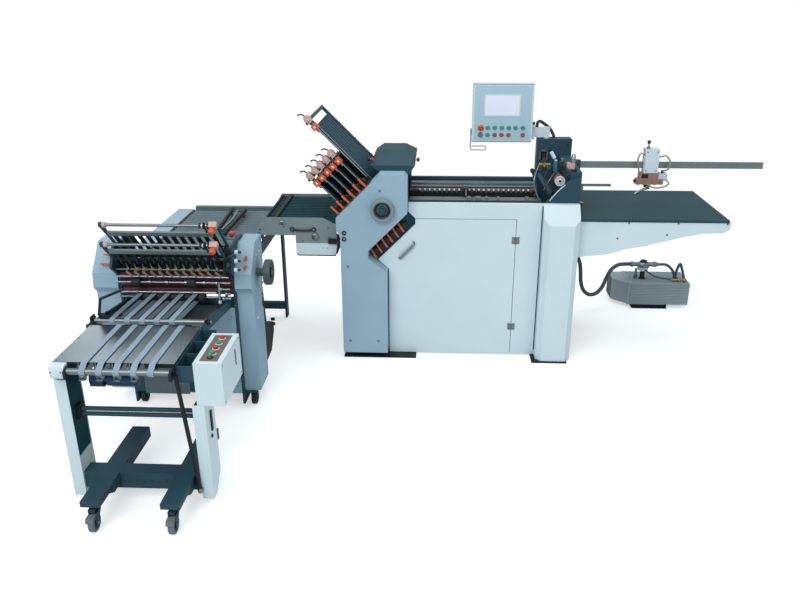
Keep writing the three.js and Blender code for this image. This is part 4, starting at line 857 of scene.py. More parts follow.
@dataclass
class MainCabinet:
    """Covers, panels, door, column and base of the first fold unit."""

    cover_face: float = -80.3
    handle_ends: tuple[Point, Point] = ((-773.7, -4.0, 587.0), (-692.3, -4.0, 671.3))
    seam: tuple[Point, Point] = ((-6.2, -1.0, 40.0), (-0.6, 3.0, 890.0))
    cover_screws: tuple[tuple[float, float], ...] = ((-873.5, 987.0), (-1054.5, 562.1), (-1051.4, 114.7),
                                                     (-891.2, 113.5))
    port_places: tuple[tuple[float, float], ...] = ((-1070.0, 753.0), (-1071.0, 718.0))
    hinge_heights: tuple[float, float] = (165.0, 678.0)
    hinge_pin: float = -139.0
    leaf_reach: float = 20.6
    leaf_clear: float = 5.5
    leaf_height: float = 39.6

    def finishes(self) -> None:
        """Paints the sheet metal that the frame brings."""
        dress("main_base", SOOT_PAINT, 2.0)
        dress("front_side_frame", SLATE_PAINT, 1.5)
        dress("rear_side_frame", SLATE_PAINT, 1.5)
        dress("fold_cover_front", BLUE_GREY_PAINT, 2.5)
        dress("rear_cover", BLUE_GREY_PAINT, 2.5)
        dress("front_panel", WHITE_PAINT, 1.5)
        dress("service_door", WHITE_PAINT, 1.5)
        dress("corner_column", WHITE_PAINT, 4.0)

    def cover_fittings(self) -> None:
        """Dark seam strip beside the column, screws and the two ringed oil ports of the fold cover."""
        form = Form("fold_cover_fittings")
        form.block(*self.seam, SLATE_PAINT, 0.4)
        for x, z in self.cover_screws:
            form.screw((x, self.cover_face, z), FRONT, 6.5, GREY_PAINT)
        for x, z in self.port_places:
            axis = ((x, self.cover_face, z), (x, self.cover_face - 1, z))
            form.turned(*axis, [(-1, 13), (3, 13), (4.5, 11), (4.5, 7.5), (-1, 7)], BLACK_PLASTIC, 20,
                        ring=True)
            form.turned(*axis, [(-1, 7.2), (1.5, 7.2), (2.5, 4), (2.5, 0)], CHROME, 16)
        form.done()

    def door_handle(self) -> None:
        """Slanting pull: a pressed bar with a curled finger lip at its upper end."""
        low, high = (Vector(point) for point in self.handle_ends)
        along = (high - low).normalized()
        across = Vector((-along.z, 0, along.x))
        form = Form("door_handle", "service_door")
        route = [tuple(low + along * reach + Vector((0, lift, 0))) for reach, lift in
                 ((-4, 3.4), (4, -6), (16, -9), (98, -9), (110, -8))]
        form.sweep(route, rectangle(-8, -1.6, 8, 1.6), ALUMINIUM, up=BACK)
        curl = [tuple(high + along * a + across * b + Vector((0, -5, 0))) for a, b in
                ((-3, 0), (4, 2), (8, 9), (6, 15), (1, 16))]
        form.tube(curl, 3.2, ALUMINIUM, 10, up=BACK, steps=4)
        for end in (low, high):
            form.rod(tuple(end + Vector((0, 4.4, 0))), tuple(end + Vector((0, -6, 0))), 5, ALUMINIUM)
        form.done(slot="aluminium")

    def hinges(self) -> None:
        """Bright leaves and screws over the two butt hinges, one leaf on the panel and one on the door."""
        pin, leaf, clear, high = self.hinge_pin, self.leaf_reach, self.leaf_clear, self.leaf_height
        for i, low in enumerate(self.hinge_heights):
            for half, (way, body) in enumerate(((1, "machine"), (-1, "service_door"))):
                z0 = low + half * 20.0
                form = Form(f"hinge_leaf_{i + 1}_{body}", body)
                x0, x1 = sorted((pin + way * clear, pin + way * leaf))
                form.block((x0, -4.6, low + 0.1), (x1, -2.9, low + high), ALUMINIUM, 0.5)
                for z in (low + 8, low + 31.5):
                    form.screw(((x0 + x1) / 2, -4.4, z), FRONT, 2.6, TURNED_STEEL)
                x0, x1 = sorted((pin, pin + way * (clear + 1)))
                form.block((x0, -4.6, z0 + 0.1), (x1, -2.9, z0 + 19.5), ALUMINIUM, 0.4)
                form.turned((pin, -5, z0 + 0.1), (pin, -5, z0 + 20),
                            [(0, 4.2), (0, 5.1), (19.4, 5.1), (19.4, 4.2)], ALUMINIUM, 16)
                form.done(slot="aluminium")

    def build(self) -> None:
        """Builds the cabinet."""
        self.finishes()
        self.cover_fittings()
        self.door_handle()
        self.hinges()


@dataclass
class FoldUnit:
    """Upper and lower buckle plates, their levers and counters, rollers, handwheel and sound hood."""

    head_corner: tuple[float, float] = (-1113.0, 833.0)
    pitch: float = 42.6
    first: float = 44.0
    count: int = 6
    ribs: int = 8
    near: float = 42.3
    far: float = 511.7
    root: float = -92.0
    short_reach: float = 212.0
    long_reach: float = 458.0
    long_sheet: float = 396.0
    # Place of the first lever of a pack, and how far from it the last one stands
    upper_levers: tuple[tuple[float, float], ...] = ((-1139.0, 889.0), (148.6, 152.6))
    lower_levers: tuple[tuple[float, float], ...] = ((-934.0, 648.0), (150.0, 149.0))
    wheel_back: float = -83.5
    wheel_front: float = -117.0

    def plate_pose(self, index: int) -> Matrix:
        """Gives the turn and shift of an upper plate: X out of the head, Z down to the left.

        Args:
            index: number of the plate from zero, lowest first.

        Returns:
            The pose, in working millimetres.
        """
        x, z = self.head_corner
        along = (self.first + index * self.pitch) * DIAGONAL
        turn = Matrix(((-DIAGONAL, 0, -DIAGONAL), (0, 1, 0), (DIAGONAL, 0, -DIAGONAL))).to_4x4()
        return Matrix.Translation((x + along, 0, z + along)) @ turn

    def counter(self, form: Form, at: float) -> None:
        """Orange position counter with its pale window, on the plate's spindle.

        Args:
            form: the plate that takes it.
            at: its place along the plate.
        """
        y1 = self.near - 1
        y0 = y1 - 36
        form.block((at - 16, y0, -16), (at + 16, y1, 16), ORANGE_PLASTIC, 3.5)
        form.turned((at, y0 + 1, 0), (at, y0, 0), [(-1, 13), (3, 12.4), (3.5, 10.6), (0.6, 9.6), (0.6, 0)],
                    ORANGE_PLASTIC, 24)
        form.block((at - 6, y0 - 1.6, -5), (at + 6, y0 + 2, 5), WHITE_PLASTIC, 1.2)
        for place_x, place_z in ((at - 11, 11), (at + 11, -11)):
            form.screw((place_x, y0, place_z), FRONT, 2, TURNED_STEEL)
        form.rod((at - 36, y0 + 16, 0), (at - 15, y0 + 16, 0), 8.5, ALUMINIUM, 16)
        form.rod((at + 15, y0 + 16, 0), (at + 32, y0 + 16, 0), 9.5, ALUMINIUM, 16)

    def gearbox(self, form: Form, start: float) -> None:
        """Rose die-cast bevel gearbox with its black clamp and curved hand crank.

        Args:
            form: the plate that takes it.
            start: where it starts along the plate.
        """
        y1 = self.near - 1
        y0 = y1 - 38
        case = [(start, -15), (start + 30, -17), (start + 44, -8), (start + 44, 8), (start + 30, 17),
                (start, 15)]
        form.prism(case, "y", y0 + 4, y1, PALE_ROSE, 4)
        form.turned((start + 20, y0 + 5, 2), (start + 20, y0, 2), [(-1, 13), (4, 12), (6, 9), (6, 0)],
                    PALE_ROSE, 20)
        form.rod((start - 8, y0 + 16, 0), (start + 3, y0 + 16, 0), 11, BLACK_PLASTIC, 16)
        form.block((start + 2, y0 + 2, 12), (start + 16, y1 - 4, 21), BLACK_PLASTIC, 2)
        form.rod((start + 40, y0 + 16, 0), (start + 54, y0 + 16, 0), 4, TURNED_STEEL, 12)
        crank = [(start + 50, y0 + 16, 0), (start + 60, y0 + 14, 2), (start + 68, y0 + 10, 8),
                 (start + 72, y0 + 4, 15)]
        form.tube(crank, 3.6, BLACK_PLASTIC, 10, up=BACK, steps=5)
        form.ball((start + 72, y0 + 3, 16), 5.0, BLACK_PLASTIC, 12)

    def sheets(self, form: Form, reach: float, sheet_end: float, finish: Finish) -> None:
        """Two plates of one buckle pocket with their stop bar, ribs and side rails.

        Args:
            form: the plate that takes them.
            reach: where the side rails end along the plate.
            sheet_end: where the sheets end.
            finish: finish of sheets and ribs.
        """
        y0, y1 = self.near, self.far
        for z in (-3.6, 1.4):
            form.block((self.root, y0 + 2, z), (sheet_end, y1 - 2, z + 2.2), finish, 0.5)
        for i in range(self.ribs):
            y = y0 + 34 + i * 56
            for z in (-6.4, 3.4):
                form.block((self.root + 6, y, z), (sheet_end - 4, y + 7, z + 3.0), finish, 0.6)
        for y in (y0, y1 - 9):
            form.block((self.root, y, -7), (reach, y + 9, 7), SLATE_PAINT, 1.5)
        form.block((sheet_end - 2, y0 + 8, -7), (sheet_end + 10, y1 - 8, 7), SOOT_PAINT, 1.2)
        form.block((reach - 14, y0 + 1, -7), (reach, y1 - 1, 7), SLATE_PAINT, 2)
        spindle = y0 - 10
        form.rod((self.root + 70, spindle, 0), (reach, spindle, 0), 4.2, CHROME, 12)
        for at in (self.root + 76, reach - 30):
            form.rod((at, spindle, 0), (at, y0 + 4, 0), 5, TURNED_STEEL, 12)

    def upper_plates(self) -> None:
        """Six buckle plates over the head, the last one long with an open frame."""
        for index in range(self.count):
            long = index == self.count - 1
            reach = self.long_reach if long else self.short_reach
            end = self.long_sheet if long else self.short_reach - 17
            form = Form(f"buckle_plate_{index + 1}_set", f"buckle_plate_{index + 1}", self.plate_pose(index))
            finish = SLATE_PAINT if long else SOOT_PAINT
            self.sheets(form, reach, end, finish)
            if long:
                for y in (self.near - 0.5, self.far - 9):
                    form.rod((self.root + 20, y + 5, -9), (reach + 4, y + 5, -9), 3.6, ALUMINIUM, 12)
                form.rod((reach + 2, self.near + 2, -9), (reach + 2, self.far - 2, -9), 3.6, ALUMINIUM, 12)
                for at in (60.0, 190.0, 320.0):
                    form.screw((at, self.far - 5, -12), DOWN, 4.5, TURNED_STEEL)
            counter_at = 406.0 if long else 196.0
            self.counter(form, counter_at)
            self.gearbox(form, counter_at + 31)
            form.done(f"buckle_plate_{index + 1}", slot="slate_paint" if long else "black_paint")

    def levers(self) -> None:
        """Orange clamp levers of the upper pack and of the lower pack seen through the slot."""
        form = Form("plate_clamp_levers")
        shares = [i / (self.count - 1) for i in range(self.count)]
        (x0, z0), (wide, tall) = self.upper_levers
        for share in shares:
            x, z = x0 + share * wide, z0 + share * tall
            route = [(x, -46, z), (x + 14, -52, z - 13), (x + 38, -52, z - 36), (x + 48, -47, z - 46)]
            form.sweep(route, rectangle(-3, -5.2, 3, 5.2), ORANGE_PLASTIC, up=(1, 0, 1))
            form.rod((x + 22, -47, z - 21), (x + 22, 42, z - 21), 8, SOOT_PAINT, 14)
            form.block((x + 5, -30, z - 36), (x + 34, -8, z - 6), SOOT_PAINT, 3)
        (x0, z0), (wide, tall) = self.lower_levers
        for share in shares:
            x, z = x0 + share * wide, z0 + share * tall
            route = [(x, -14, z), (x + 12, -20, z - 18), (x + 26, -20, z - 40), (x + 34, -14, z - 53)]
            form.sweep(route, rectangle(-3, -4.4, 3, 4.4), ORANGE_PLASTIC, up=(1, 0, 0.7))
            form.rod((x + 17, -16, z - 27), (x + 17, 29.6, z - 27), 9, SOOT_PAINT, 14)
            form.block((x + 20, -8, z - 30), (x + 44, 14, z - 4), BLACK_PLASTIC, 3)
        form.done(slot="black_plastic")

    def bearing_rail(self) -> None:
        """Black carriers along the 45 degree edge that the clamp levers stand on."""
        x, z = self.head_corner
        slope = Matrix.Translation((x, 0, z)) @ Matrix.Rotation(-math.pi / 4, 4, "Y")
        form = Form("clamp_rail", pose=slope)
        form.block((6, 2, 4), (270, 29.6, 30), SOOT_PAINT, 2)
        form.block((2, -34, 2), (268, 4, 10), SLATE_PAINT, 1.5)
        for i in range(self.count):
            at = 32 + i * self.pitch
            form.rod((at, -20, 6), (at, -20, 42), 7, TURNED_STEEL, 14)
            form.block((at - 10, -34, 8), (at + 10, -4, 26), SOOT_PAINT, 2)
        form.done()

    def rollers(self) -> None:
        """Fold rollers, and the handwheel with its dished bright face in place of the plain one."""
        for index in (1, 2, 3):
            dress(f"fold_roller_{index}", TURNED_STEEL, 1.0)
        dress("lower_buckle_plates", SOOT_PAINT, 0.8)
        low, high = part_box("main_handwheel")
        centre = (low + high) / 2
        x, z = ((centre - ORIGIN) / MILLIMETRE).x, centre.z / MILLIMETRE
        axis = ((x, self.wheel_back, z), (x, self.wheel_front, z))
        form = Form("main_handwheel_dished", "first_fold_roller")
        rim = [(0, 13), (0, 60), (3, 63), (26, 63), (31, 60.5), (33, 56), (32.5, 51), (29, 47), (12, 33),
               (10, 27.5), (14, 26.5), (14, 13)]
        dish = [(9, 30.5), (27.5, 45.5), (28.3, 44.6), (11.5, 29.5)]
        hub = [(12, 13.2), (12, 26), (16.5, 26), (18, 24.5), (18, 13.2)]
        collar = [(18, 11.9), (18, 27), (21, 26.4), (21.6, 24), (21.6, 11.9)]
        form.turned(*axis, rim, OLIVE_PAINT, 48, ring=True)
        form.turned(*axis, dish, CHROME, 48, ring=True)
        form.turned(*axis, hub, BLACK_PLASTIC, 32, ring=True)
        form.turned(*axis, [(-2, 11.7), (19, 11.7), (20, 10.5), (20, 0)], SLATE_PAINT, 24)
        form.turned(*axis, collar, SLATE_PAINT, 36, ring=True)
        cap = [(0, 0), (0, 11.8), (1.4, 13.2), (17, 13.2), (17, 0)]
        form.turned((x, -121.6, z), (x, -100, z), cap, SLATE_PAINT, 28)
        form.done("main_handwheel", slot="steel")

    def hood(self) -> None:
        """Sound hood with folded seams, its knobs, latch brackets and foot strip."""
        dress("sound_hood", SLATE_PAINT, 2.5)
        form = Form("hood_fittings", "sound_hood")
        low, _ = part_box("sound_hood")
        z0 = low.z / MILLIMETRE
        z = z0 + 62
        for x, y, way in ((-932.0, 120.0, -1), (-692.0, 120.0, 1)):
            form.rod((x + way * -2, y, z), (x + way * 12, y, z), 5, TURNED_STEEL, 14)
            form.turned((x + way * 8, y, z), (x + way * 20, y, z),
                        [(0, 7), (3, 11), (11, 11), (14, 8), (14, 0)], BLACK_PLASTIC, 20)
        form.rod((-912, 50, z0 + 72), (-924, 46, z0 + 84), 5.5, RED_PLASTIC, 14)
        form.done(slot="slate_paint")
        fixed = Form("hood_brackets")
        for x in (-857.0, -818.0):
            fixed.block((x - 10, 14, 1030), (x + 10, 29.6, 1048), SLATE_PAINT, 1.5)
            fixed.screw((x, 14.2, 1039), FRONT, 5, TURNED_STEEL)
        fixed.done()

    def build(self) -> None:
        """Builds the fold unit."""
        self.upper_plates()
        self.levers()
        self.bearing_rail()
        self.rollers()
        self.hood()


@dataclass
class RegisterBed:
    """Aligning bed between the fold rollers and the feeder: rails, ball strip and side lay."""

    left: float = -728.7
    right: float = -0.3
    front: float = 42.3
    rear: float = 511.7
    level: float = 880.0
    ball_count: int = 23

    def build(self) -> None:
        """Builds the bed in place of its plain solid."""
        form = Form("register_bed_set")
        x0, x1, y0, y1, z = self.left, self.right, self.front, self.rear, self.level
        form.block((x0, y0, z - 12), (x1, y1, z), SLATE_PAINT, 1)
        form.block((x0 + 6, y0 + 16, z - 0.3), (x1 - 6, y0 + 82, z + 25.5), ALUMINIUM, 1.5)
        form.block((x0 + 2, y0 + 2, z - 0.3), (x1 - 2, y0 + 13, z + 6), SOOT_PAINT, 1)
        form.block((x0 + 40, y0 + 88, z + 2), (x1 - 30, y0 + 108, z + 20), TURNED_STEEL, 2)
        form.block((x0 + 2, y0 + 168, z - 0.3), (x1 - 2, y0 + 194, z + 38), SOOT_PAINT, 2)
        form.block((x0 + 10, y0 + 196, z + 20), (x1 - 10, y0 + 204, z + 44), COPPER_COAT, 1.5)
        form.block((x0 + 2, y0 + 226, z - 0.3), (x1 - 2, y0 + 262, z + 30), BED_STEEL, 4)
        form.block((x0 + 2, y0 + 290, z - 0.3), (x1 - 2, y0 + 336, z + 34), BED_STEEL, 4)
        form.block((x0 + 2, y0 + 344, z - 0.3), (x1 - 2, y0 + 396, z + 44), BED_STEEL, 8)
        form.block((x0, y0 + 425, z - 0.3), (x1, y0 + 455, z + 58), SLATE_PAINT, 3)
        ball_y = y0 + 181
        pitch = (x1 - x0 - 120) / (self.ball_count - 1)
        for i in range(self.ball_count):
            x = x0 + 60 + i * pitch
            form.turned((x, ball_y, z + 37), (x, ball_y, z + 40), [(0, 9), (1.8, 8.6), (2.4, 6.5)], CHROME,
                        14)
            form.ball((x, ball_y, z + 41), 6.2, WHITE_PLASTIC, 12)
            form.block((x + pitch / 2 - 5, y0 + 164, z + 30), (x + pitch / 2 + 5, y0 + 170, z + 42),
                       TURNED_STEEL, 1)
        form.block((x0 + 296, y0 + 158, z + 34), (x0 + 334, y0 + 206, z + 56), BLACK_PLASTIC, 3)
        form.rod((x0 + 318, y0 + 92, z + 30), (x0 + 318, y0 + 170, z + 52), 5, TURNED_STEEL, 12)
        form.rod((x0 + 352, y0 + 110, z + 20), (x0 + 352, y0 + 110, z + 52), 4, BLACK_PLASTIC, 12)
        form.ball((x0 + 352, y0 + 110, z + 56), 6, BLACK_PLASTIC, 12)
        for x, wide in ((x0 + 322, 20), (x0 + 368, 30), (x0 + 422, 14), (x0 + 486, 12), (x0 + 640, 18)):
            form.block((x, y0 + 22, z + 25), (x + wide, y0 + 74, z + 34), TURNED_STEEL, 3)
            for y in (y0 + 30, y0 + 64):
                form.screw((x + wide / 2, y, z + 34), UP, 4, CHROME)
        form.done("register_bed", slot="steel")


@dataclass
class ControlPanel:
    """Swivelling control panel: sheet housing, foil, lit screen, buttons, and its arm."""

    left: float = -375.0
    right: float = -27.0
    face: float = 487.0
    back: float = 537.0
    low: float = 1141.0
    high: float = 1473.0
    pin_x: float = -14.0
    pin_y: float = 557.0
    arm_low: float = 1161.3
    arm_high: float = 1219.3
    top_row: float = 1225.5
    low_row: float = 1184.4
    columns: tuple[float, ...] = (-284.0, -243.2, -202.9, -162.5, -123.4, -80.8)
    stop: tuple[float, float] = (-325.0, 1225.0)
    stem_guide: float = 8.4
    screen: tuple[float, float, float, float] = (-302.0, 1296.0, -108.0, 1406.0)
    bezel: float = 7.0

    def lamp_button(self, form: Form, x: float, z: float, finish: Finish) -> None:
        """Round push-button with its metal collar.

        Args:
            form: the panel that takes it.
            x: its place across the panel.
            z: its height.
            finish: finish of the cap.
        """
        axis = ((x, self.face, z), (x, self.face - 1, z))
        form.turned(*axis, [(-1, 13.5), (2.4, 13.5), (3.4, 12.2), (3.4, 10), (-1, 10)], CHROME, 24, ring=True)
        form.turned(*axis, [(-1, 10.2), (6, 10.2), (7.4, 8.6), (7, 0)], finish, 24)

    def housing(self) -> None:
        """Housing with rounded corners, foil, screen and buttons."""
        form = Form("control_panel_housing", "control_panel")
        x0, x1, y0, y1, z0, z1 = self.left, self.right, self.face, self.back, self.low, self.high
        stop_x, stop_z = self.stop
        half = self.stem_guide
        guide = rectangle(stop_x - half, stop_z - half, stop_x + half, stop_z + half)
        outline = rectangle(x0, z0, x1, z1)
        foil = rectangle(x0 + 11, z0 + 11, x1 - 11, z1 - 11)
        form.hull([[(x, y, z) for x, z in ring] for ring, y in
                   ((outline, y1), (outline, y0 + 0.8), (guide, y0 + 0.8), (guide, y0 + 12))], WHITE_PAINT, 4)
        for z in (z0 + 2, z1 - 5):
            form.block((x0 + 2, y0 + 0.4, z), (x1 - 2, y0 + 3, z + 3), SLATE_PAINT, 0.4)
        form.block((x0 + 3, y1 - 26, z1 - 7), (x1 - 3, y1 - 1, z1 - 0.1), SLATE_PAINT, 2)
        form.hull([[(x, y, z) for x, z in ring] for ring, y in
                   ((foil, y0 + 2), (foil, y0), (guide, y0), (guide, y0 + 2))], PANEL_FOIL, 0.4, closed=True)
        left, low, right, high = self.screen
        form.block((left - self.bezel, y0 - 1.5, low - self.bezel),
                   (right + self.bezel, y0 + 1, high + self.bezel), WHITE_PLASTIC, 1.2)
        form.block((left, y0 - 2, low), (right, y0 + 0.5, high), SCREEN_GLASS, 0.4)
        for x in self.columns:
            self.lamp_button(form, x, self.top_row, GREEN_PLASTIC)
        self.lamp_button(form, self.columns[0], self.low_row, GREEN_PLASTIC)
        for column in (1, 2, 3, 5):
            self.lamp_button(form, self.columns[column], self.low_row, RED_PLASTIC)
        x, z = self.stop
        form.turned((x, y0, z), (x, y0 - 1, z), [(-1, 19.5), (0.5, 19.5), (0.9, 19), (0.9, 9.2), (-1, 9.2)],
                    YELLOW_PLASTIC, 32, ring=True)
        z = self.low_row
        form.turned((x, y0, z), (x, y0 - 1, z), [(-1, 15), (3, 15), (4.4, 13.4), (4.4, 0)], ALUMINIUM, 24)
        form.block((x - 3.6, y0 - 12, z - 11.5), (x + 3.6, y0 - 3, z + 11.5), GREY_PAINT, 1.6)
        lug_low = self.arm_low - 10
        form.block((x1 - 20, y1 - 5, lug_low), (self.pin_x + 7, self.pin_y + 7, self.arm_low - 0.3),
                   WHITE_PAINT, 2)
        form.block((x1 - 20, y1 - 5, self.arm_high + 0.3),
                   (self.pin_x + 7, self.pin_y + 7, self.arm_high + 10), WHITE_PAINT, 2)
        form.rod((self.pin_x, self.pin_y, lug_low + 0.3), (self.pin_x, self.pin_y, self.arm_high + 9.7), 7,
                 TURNED_STEEL, 16)
        for dx in (24.0, 170.0, 320.0):
            form.screw((x0 + dx, y1 - 14, z0 + 0.4), DOWN, 3.5, TURNED_STEEL)
        form.done("control_panel", slot="white_paint")

    def paper_hook(self) -> None:
        """Bent wire rest under the panel's left corner."""
        form = Form("panel_wire_rest", "control_panel")
        x, y = self.left - 4.5, self.back - 12
        route = [(x + 2, y, 1205), (x, y, 1196), (x, y, 1140), (x, y, 1098), (x + 6, y, 1090),
                 (x + 40, y, 1089), (x + 82, y, 1089), (x + 91, y, 1096), (x + 91, y, 1104),
                 (x + 82, y, 1111), (x + 40, y, 1111), (x + 4, y, 1111)]
        form.tube(route, 2.6, TURNED_STEEL, 10, up=BACK, steps=4)
        form.block((x - 3, y - 8, 1180), (x + 6, y + 8, 1212), TURNED_STEEL, 1)
        form.done(slot="steel")

    def conduit_stub(self) -> None:
        """Short stretch of the conduit beside the panel's pin, and the bracket that holds it on the arm."""
        form = Form("conduit_stub", "control_arm")
        form.turned((-26, 560, 1240), (-3, 560, 1240), [(0, 6), (0, 9), (21, 9), (22, 7.5)], HOSE_RUBBER, 20)
        form.block((-6, 565.5, self.arm_high - 0.2), (-3, 571, 1243), SOOT_PAINT, 0.8)
        form.done(slot="black_paint")

    def stop_button(self) -> None:
        """Mushroom stop button."""
        x, z = self.stop
        form = Form("stop_button_mushroom", "emergency_button")
        y = self.face
        form.turned((x, y + 0.3, z), (x, y - 30, z),
                    [(0, 7.8), (5.6, 7.8), (6.4, 12.5), (8, 15.4), (11.5, 16), (15.5, 15), (19.2, 11.4),
                     (20, 8.6), (18.8, 6.4), (18.8, 0)], RED_PLASTIC, 32)
        form.done("emergency_button", slot="red_plastic")

    def build(self) -> None:
        """Builds the panel and finishes its arm."""
        self.housing()
        self.paper_hook()
        self.conduit_stub()
        self.stop_button()
        dress("control_arm", WHITE_PAINT, 4.0)


@dataclass
class FeederHead:
    """Feeder's front bracket, rear block, forwarding wheel, valves and their air hoses."""

    wheel: tuple[float, float, float] = (91.0, 84.0, 1007.0)
    valve_y: float = 98.0
    valve_z: float = 1095.0
    cylinder_axis: tuple[float, float] = (62.0, 96.0)
    arm_y: float = 160.0
    block_face: float = 514.0
    shaft_end: float = 500.0

    def forwarding_wheel(self) -> None:
        """Red-lipped forwarding wheel with its pale hub and spokes."""
        x, y, z = self.wheel
        form = Form("feed_wheel_tyre", "feed_wheel")
        near, far = (x, y, z), (x, y + 1, z)
        tyre = [(10, 20), (10, 27), (12, 29), (48, 29), (50, 27), (50, 20)]
        form.turned(near, far, tyre, RED_RUBBER, 36, ring=True)
        hub = [(1, 7.3), (1, 11), (3, 13), (3, 20), (0.6, 22), (0, 26.5), (1.5, 28), (8, 28), (9, 26.5),
               (9, 20.3), (49, 20.3), (49, 7.3)]
        form.turned(near, far, hub, WHITE_PLASTIC, 36, ring=True)
        for i in range(6):
            a = math.tau * i / 6
            form.screw((x + 17 * math.cos(a), y + 3, z + 17 * math.sin(a)), FRONT, 2.4, TURNED_STEEL)
        form.done("feed_wheel", slot="red_plastic")

    def block_details(self) -> None:
        """Plates, bolts and bearing caps on the rear block and the cross beam."""
        dress("feed_head", SLATE_PAINT, 3.0)
        dress("feed_bracket_front", SLATE_PAINT, 2.0)
        form = Form("feed_head_details")
        y = self.block_face
        for x, z in ((36, 1126), (98, 1128), (98, 1107), (127, 1117)):
            form.screw((x, y, z), FRONT, 4, TURNED_STEEL)
        for x, z in ((190, 1122), (86, 1089)):
            form.turned((x, y, z), (x, y - 1, z), [(-1, 8.5), (1, 8.5), (1.6, 7.6), (0.4, 6.4), (0.4, 0)],
                        BLACK_PLASTIC, 20)
        form.block((24, y - 26, 1022), (72, y + 0.5, 1040), ALUMINIUM, 3)
        form.block((24, y - 26, 1088), (72, y + 0.5, 1102), ALUMINIUM, 3)
        form.block((22, y - 26, 1030), (32, y + 0.5, 1098), ALUMINIUM, 3)
        form.block((64, y - 26, 1030), (74, y + 0.5, 1098), ALUMINIUM, 3)
        form.block((38, y - 30, 1030), (60, y + 0.5, 1078), BLACK_PLASTIC, 4)
        form.block((110, y - 30, 960), (210, y + 0.5, 1020), SOOT_PAINT, 4)
        for x, near, z, radius, finish, sides in ((168, 60, 1040, 9, TURNED_STEEL, 16),
                                                  (120, 150, 985, 12, TURNED_STEEL, 18),
                                                  (34, 60, 950, 14, SLATE_PAINT, 20),
                                                  (62, 150, 925, 16, BLACK_RUBBER, 20)):
            form.rod((x, near, z), (x, self.shaft_end, z), radius, finish, sides)
        form.block((146, 80, 1000), (186, 130, 1066), SOOT_PAINT, 3)
        form.block((120, 70, 1074), (160, 104, 1108), PALE_ROSE, 4)
        form.block((128, 60, 1064), (172, 96, 1076), SOOT_PAINT, 2)
        canister = [(0, 12), (3, 14), (30, 14), (34, 12), (42, 11), (48, 7)]
        form.turned((152, 84, 1106), (152, 84, 1107), canister, CHROME, 24)
        form.prism([(112, 1078), (122, 1084), (199, 1034), (193, 1022), (176, 1024)], "y", 46, 62,
                   SLATE_PAINT, 2)
        form.block((100, 42.4, 900), (186, 60, 975), SLATE_PAINT, 3)
        # White strip along the front bracket's curved edge: a painted highlight of that edge, drawn as a thin
        # white tube
        form.tube([(34, 29, 912), (52, 28, 938), (84, 28, 976), (112, 28.5, 1000)], 2.4, WHITE_PLASTIC, 8,
                  up=BACK, steps=4)
        form.done(slot="slate_paint")

    def valves(self) -> None:
        """Brass air valve, blue cylinder, black manifold and the thin hoses between them."""
        form = Form("air_valves")
        form.block((32, 96, 1066), (140, 122, 1088), SOOT_PAINT, 3)
        y, z = self.valve_y, self.valve_z
        form.rod((12, y, 1077), (34, y + 4, 1077), 7, TURNED_STEEL, 14)
        form.block((-14, y - 14, 1060), (16, y + 14, 1082), SOOT_PAINT, 3)
        form.rod((-22, y, z), (30, y, z), 6.5, BRASS, 14)
        form.turned((2, y, 1082), (2, y, 1083), [(0, 9), (22, 9), (24, 6), (28, 6)], BRASS, 6)
        form.rod((-28, y, z), (-18, y, z), 9, BRASS, 6)
        form.rod((22, y, z), (34, y, z), 9, BRASS, 6)
        form.turned((2, y, 1110), (2, y, 1111), [(0, 11), (3, 12), (10, 12), (14, 7), (20, 7), (22, 4)],
                    BLACK_PLASTIC, 18)
        cylinder = [(-30, 9), (-28, 12), (18, 12), (22, 9), (26, 9), (30, 5)]
        form.turned((*self.cylinder_axis, 1088), (*self.cylinder_axis, 1089), cylinder, CYAN_ENAMEL, 24)
        form.turned((*self.cylinder_axis, 1110), (*self.cylinder_axis, 1111), [(0, 7), (10, 7), (11, 5)],
                    WHITE_PLASTIC, 18)
        form.turned((38, 130, 1158), (62, 124, 1118), [(0, 7), (2, 10), (40, 10), (44, 7)],
                    BLUE_WHITE_PLASTIC, 18)
        form.rod((60, 122, 1122), (66, 116, 1088), 4, TURNED_STEEL, 12)
        form.block((84, 90, 1088), (108, 118, 1112), BLACK_PLASTIC, 4)
        form.rod((96, 104, 1110), (96, 104, 1128), 7, ALUMINIUM, 16)
        thin_hoses = (((-26, y, z), (-20, 60, 905), 30), ((34, y, z), (26, 58, 940), 44),
                      ((*self.cylinder_axis, 1056), (6, 80, 960), 30), ((100, 90, 1092), (110, 62, 990), 16))
        for i, (start, end, drop) in enumerate(thin_hoses):
            middle = tuple((Vector(start) + Vector(end)) / 2 + Vector((-drop + 14 * i, -26, 14)))
            form.tube([start, middle, end], 3.2, HOSE_RUBBER if i % 2 else ALUMINIUM, 8, up=(0, 1, 0.2),
                      steps=8)
        form.done(slot="hose_rubber")

    def lever_arm(self) -> None:
        """Slanted black arm that stands over the bed's right end, with its roll."""
        form = Form("feed_lever_arm")
        y = self.arm_y
        form.tube([(-22, y, 900), (-24, y, 960), (-52, y, 1046)], 7, SLATE_PAINT, 12, up=BACK, steps=4)
        form.tube([(-52, y, 1046), (-20, y, 1052), (14, y, 1030), (30, 200, 1030)], 6, SLATE_PAINT, 12,
                  up=BACK, steps=4)
        form.rod((-52, 148, 1046), (-52, 176, 1046), 12, BLACK_PLASTIC, 18)
        form.rod((-22, 140, 905), (-22, 184, 905), 14, BLACK_RUBBER, 18)
        form.block((-36, 130, 880.3), (-8, 190, 900), SOOT_PAINT, 3)
        form.done(slot="slate_paint")

    def build(self) -> None:
        """Builds the feeder's head."""
        self.forwarding_wheel()
        self.block_details()
        self.valves()
        self.lever_arm()


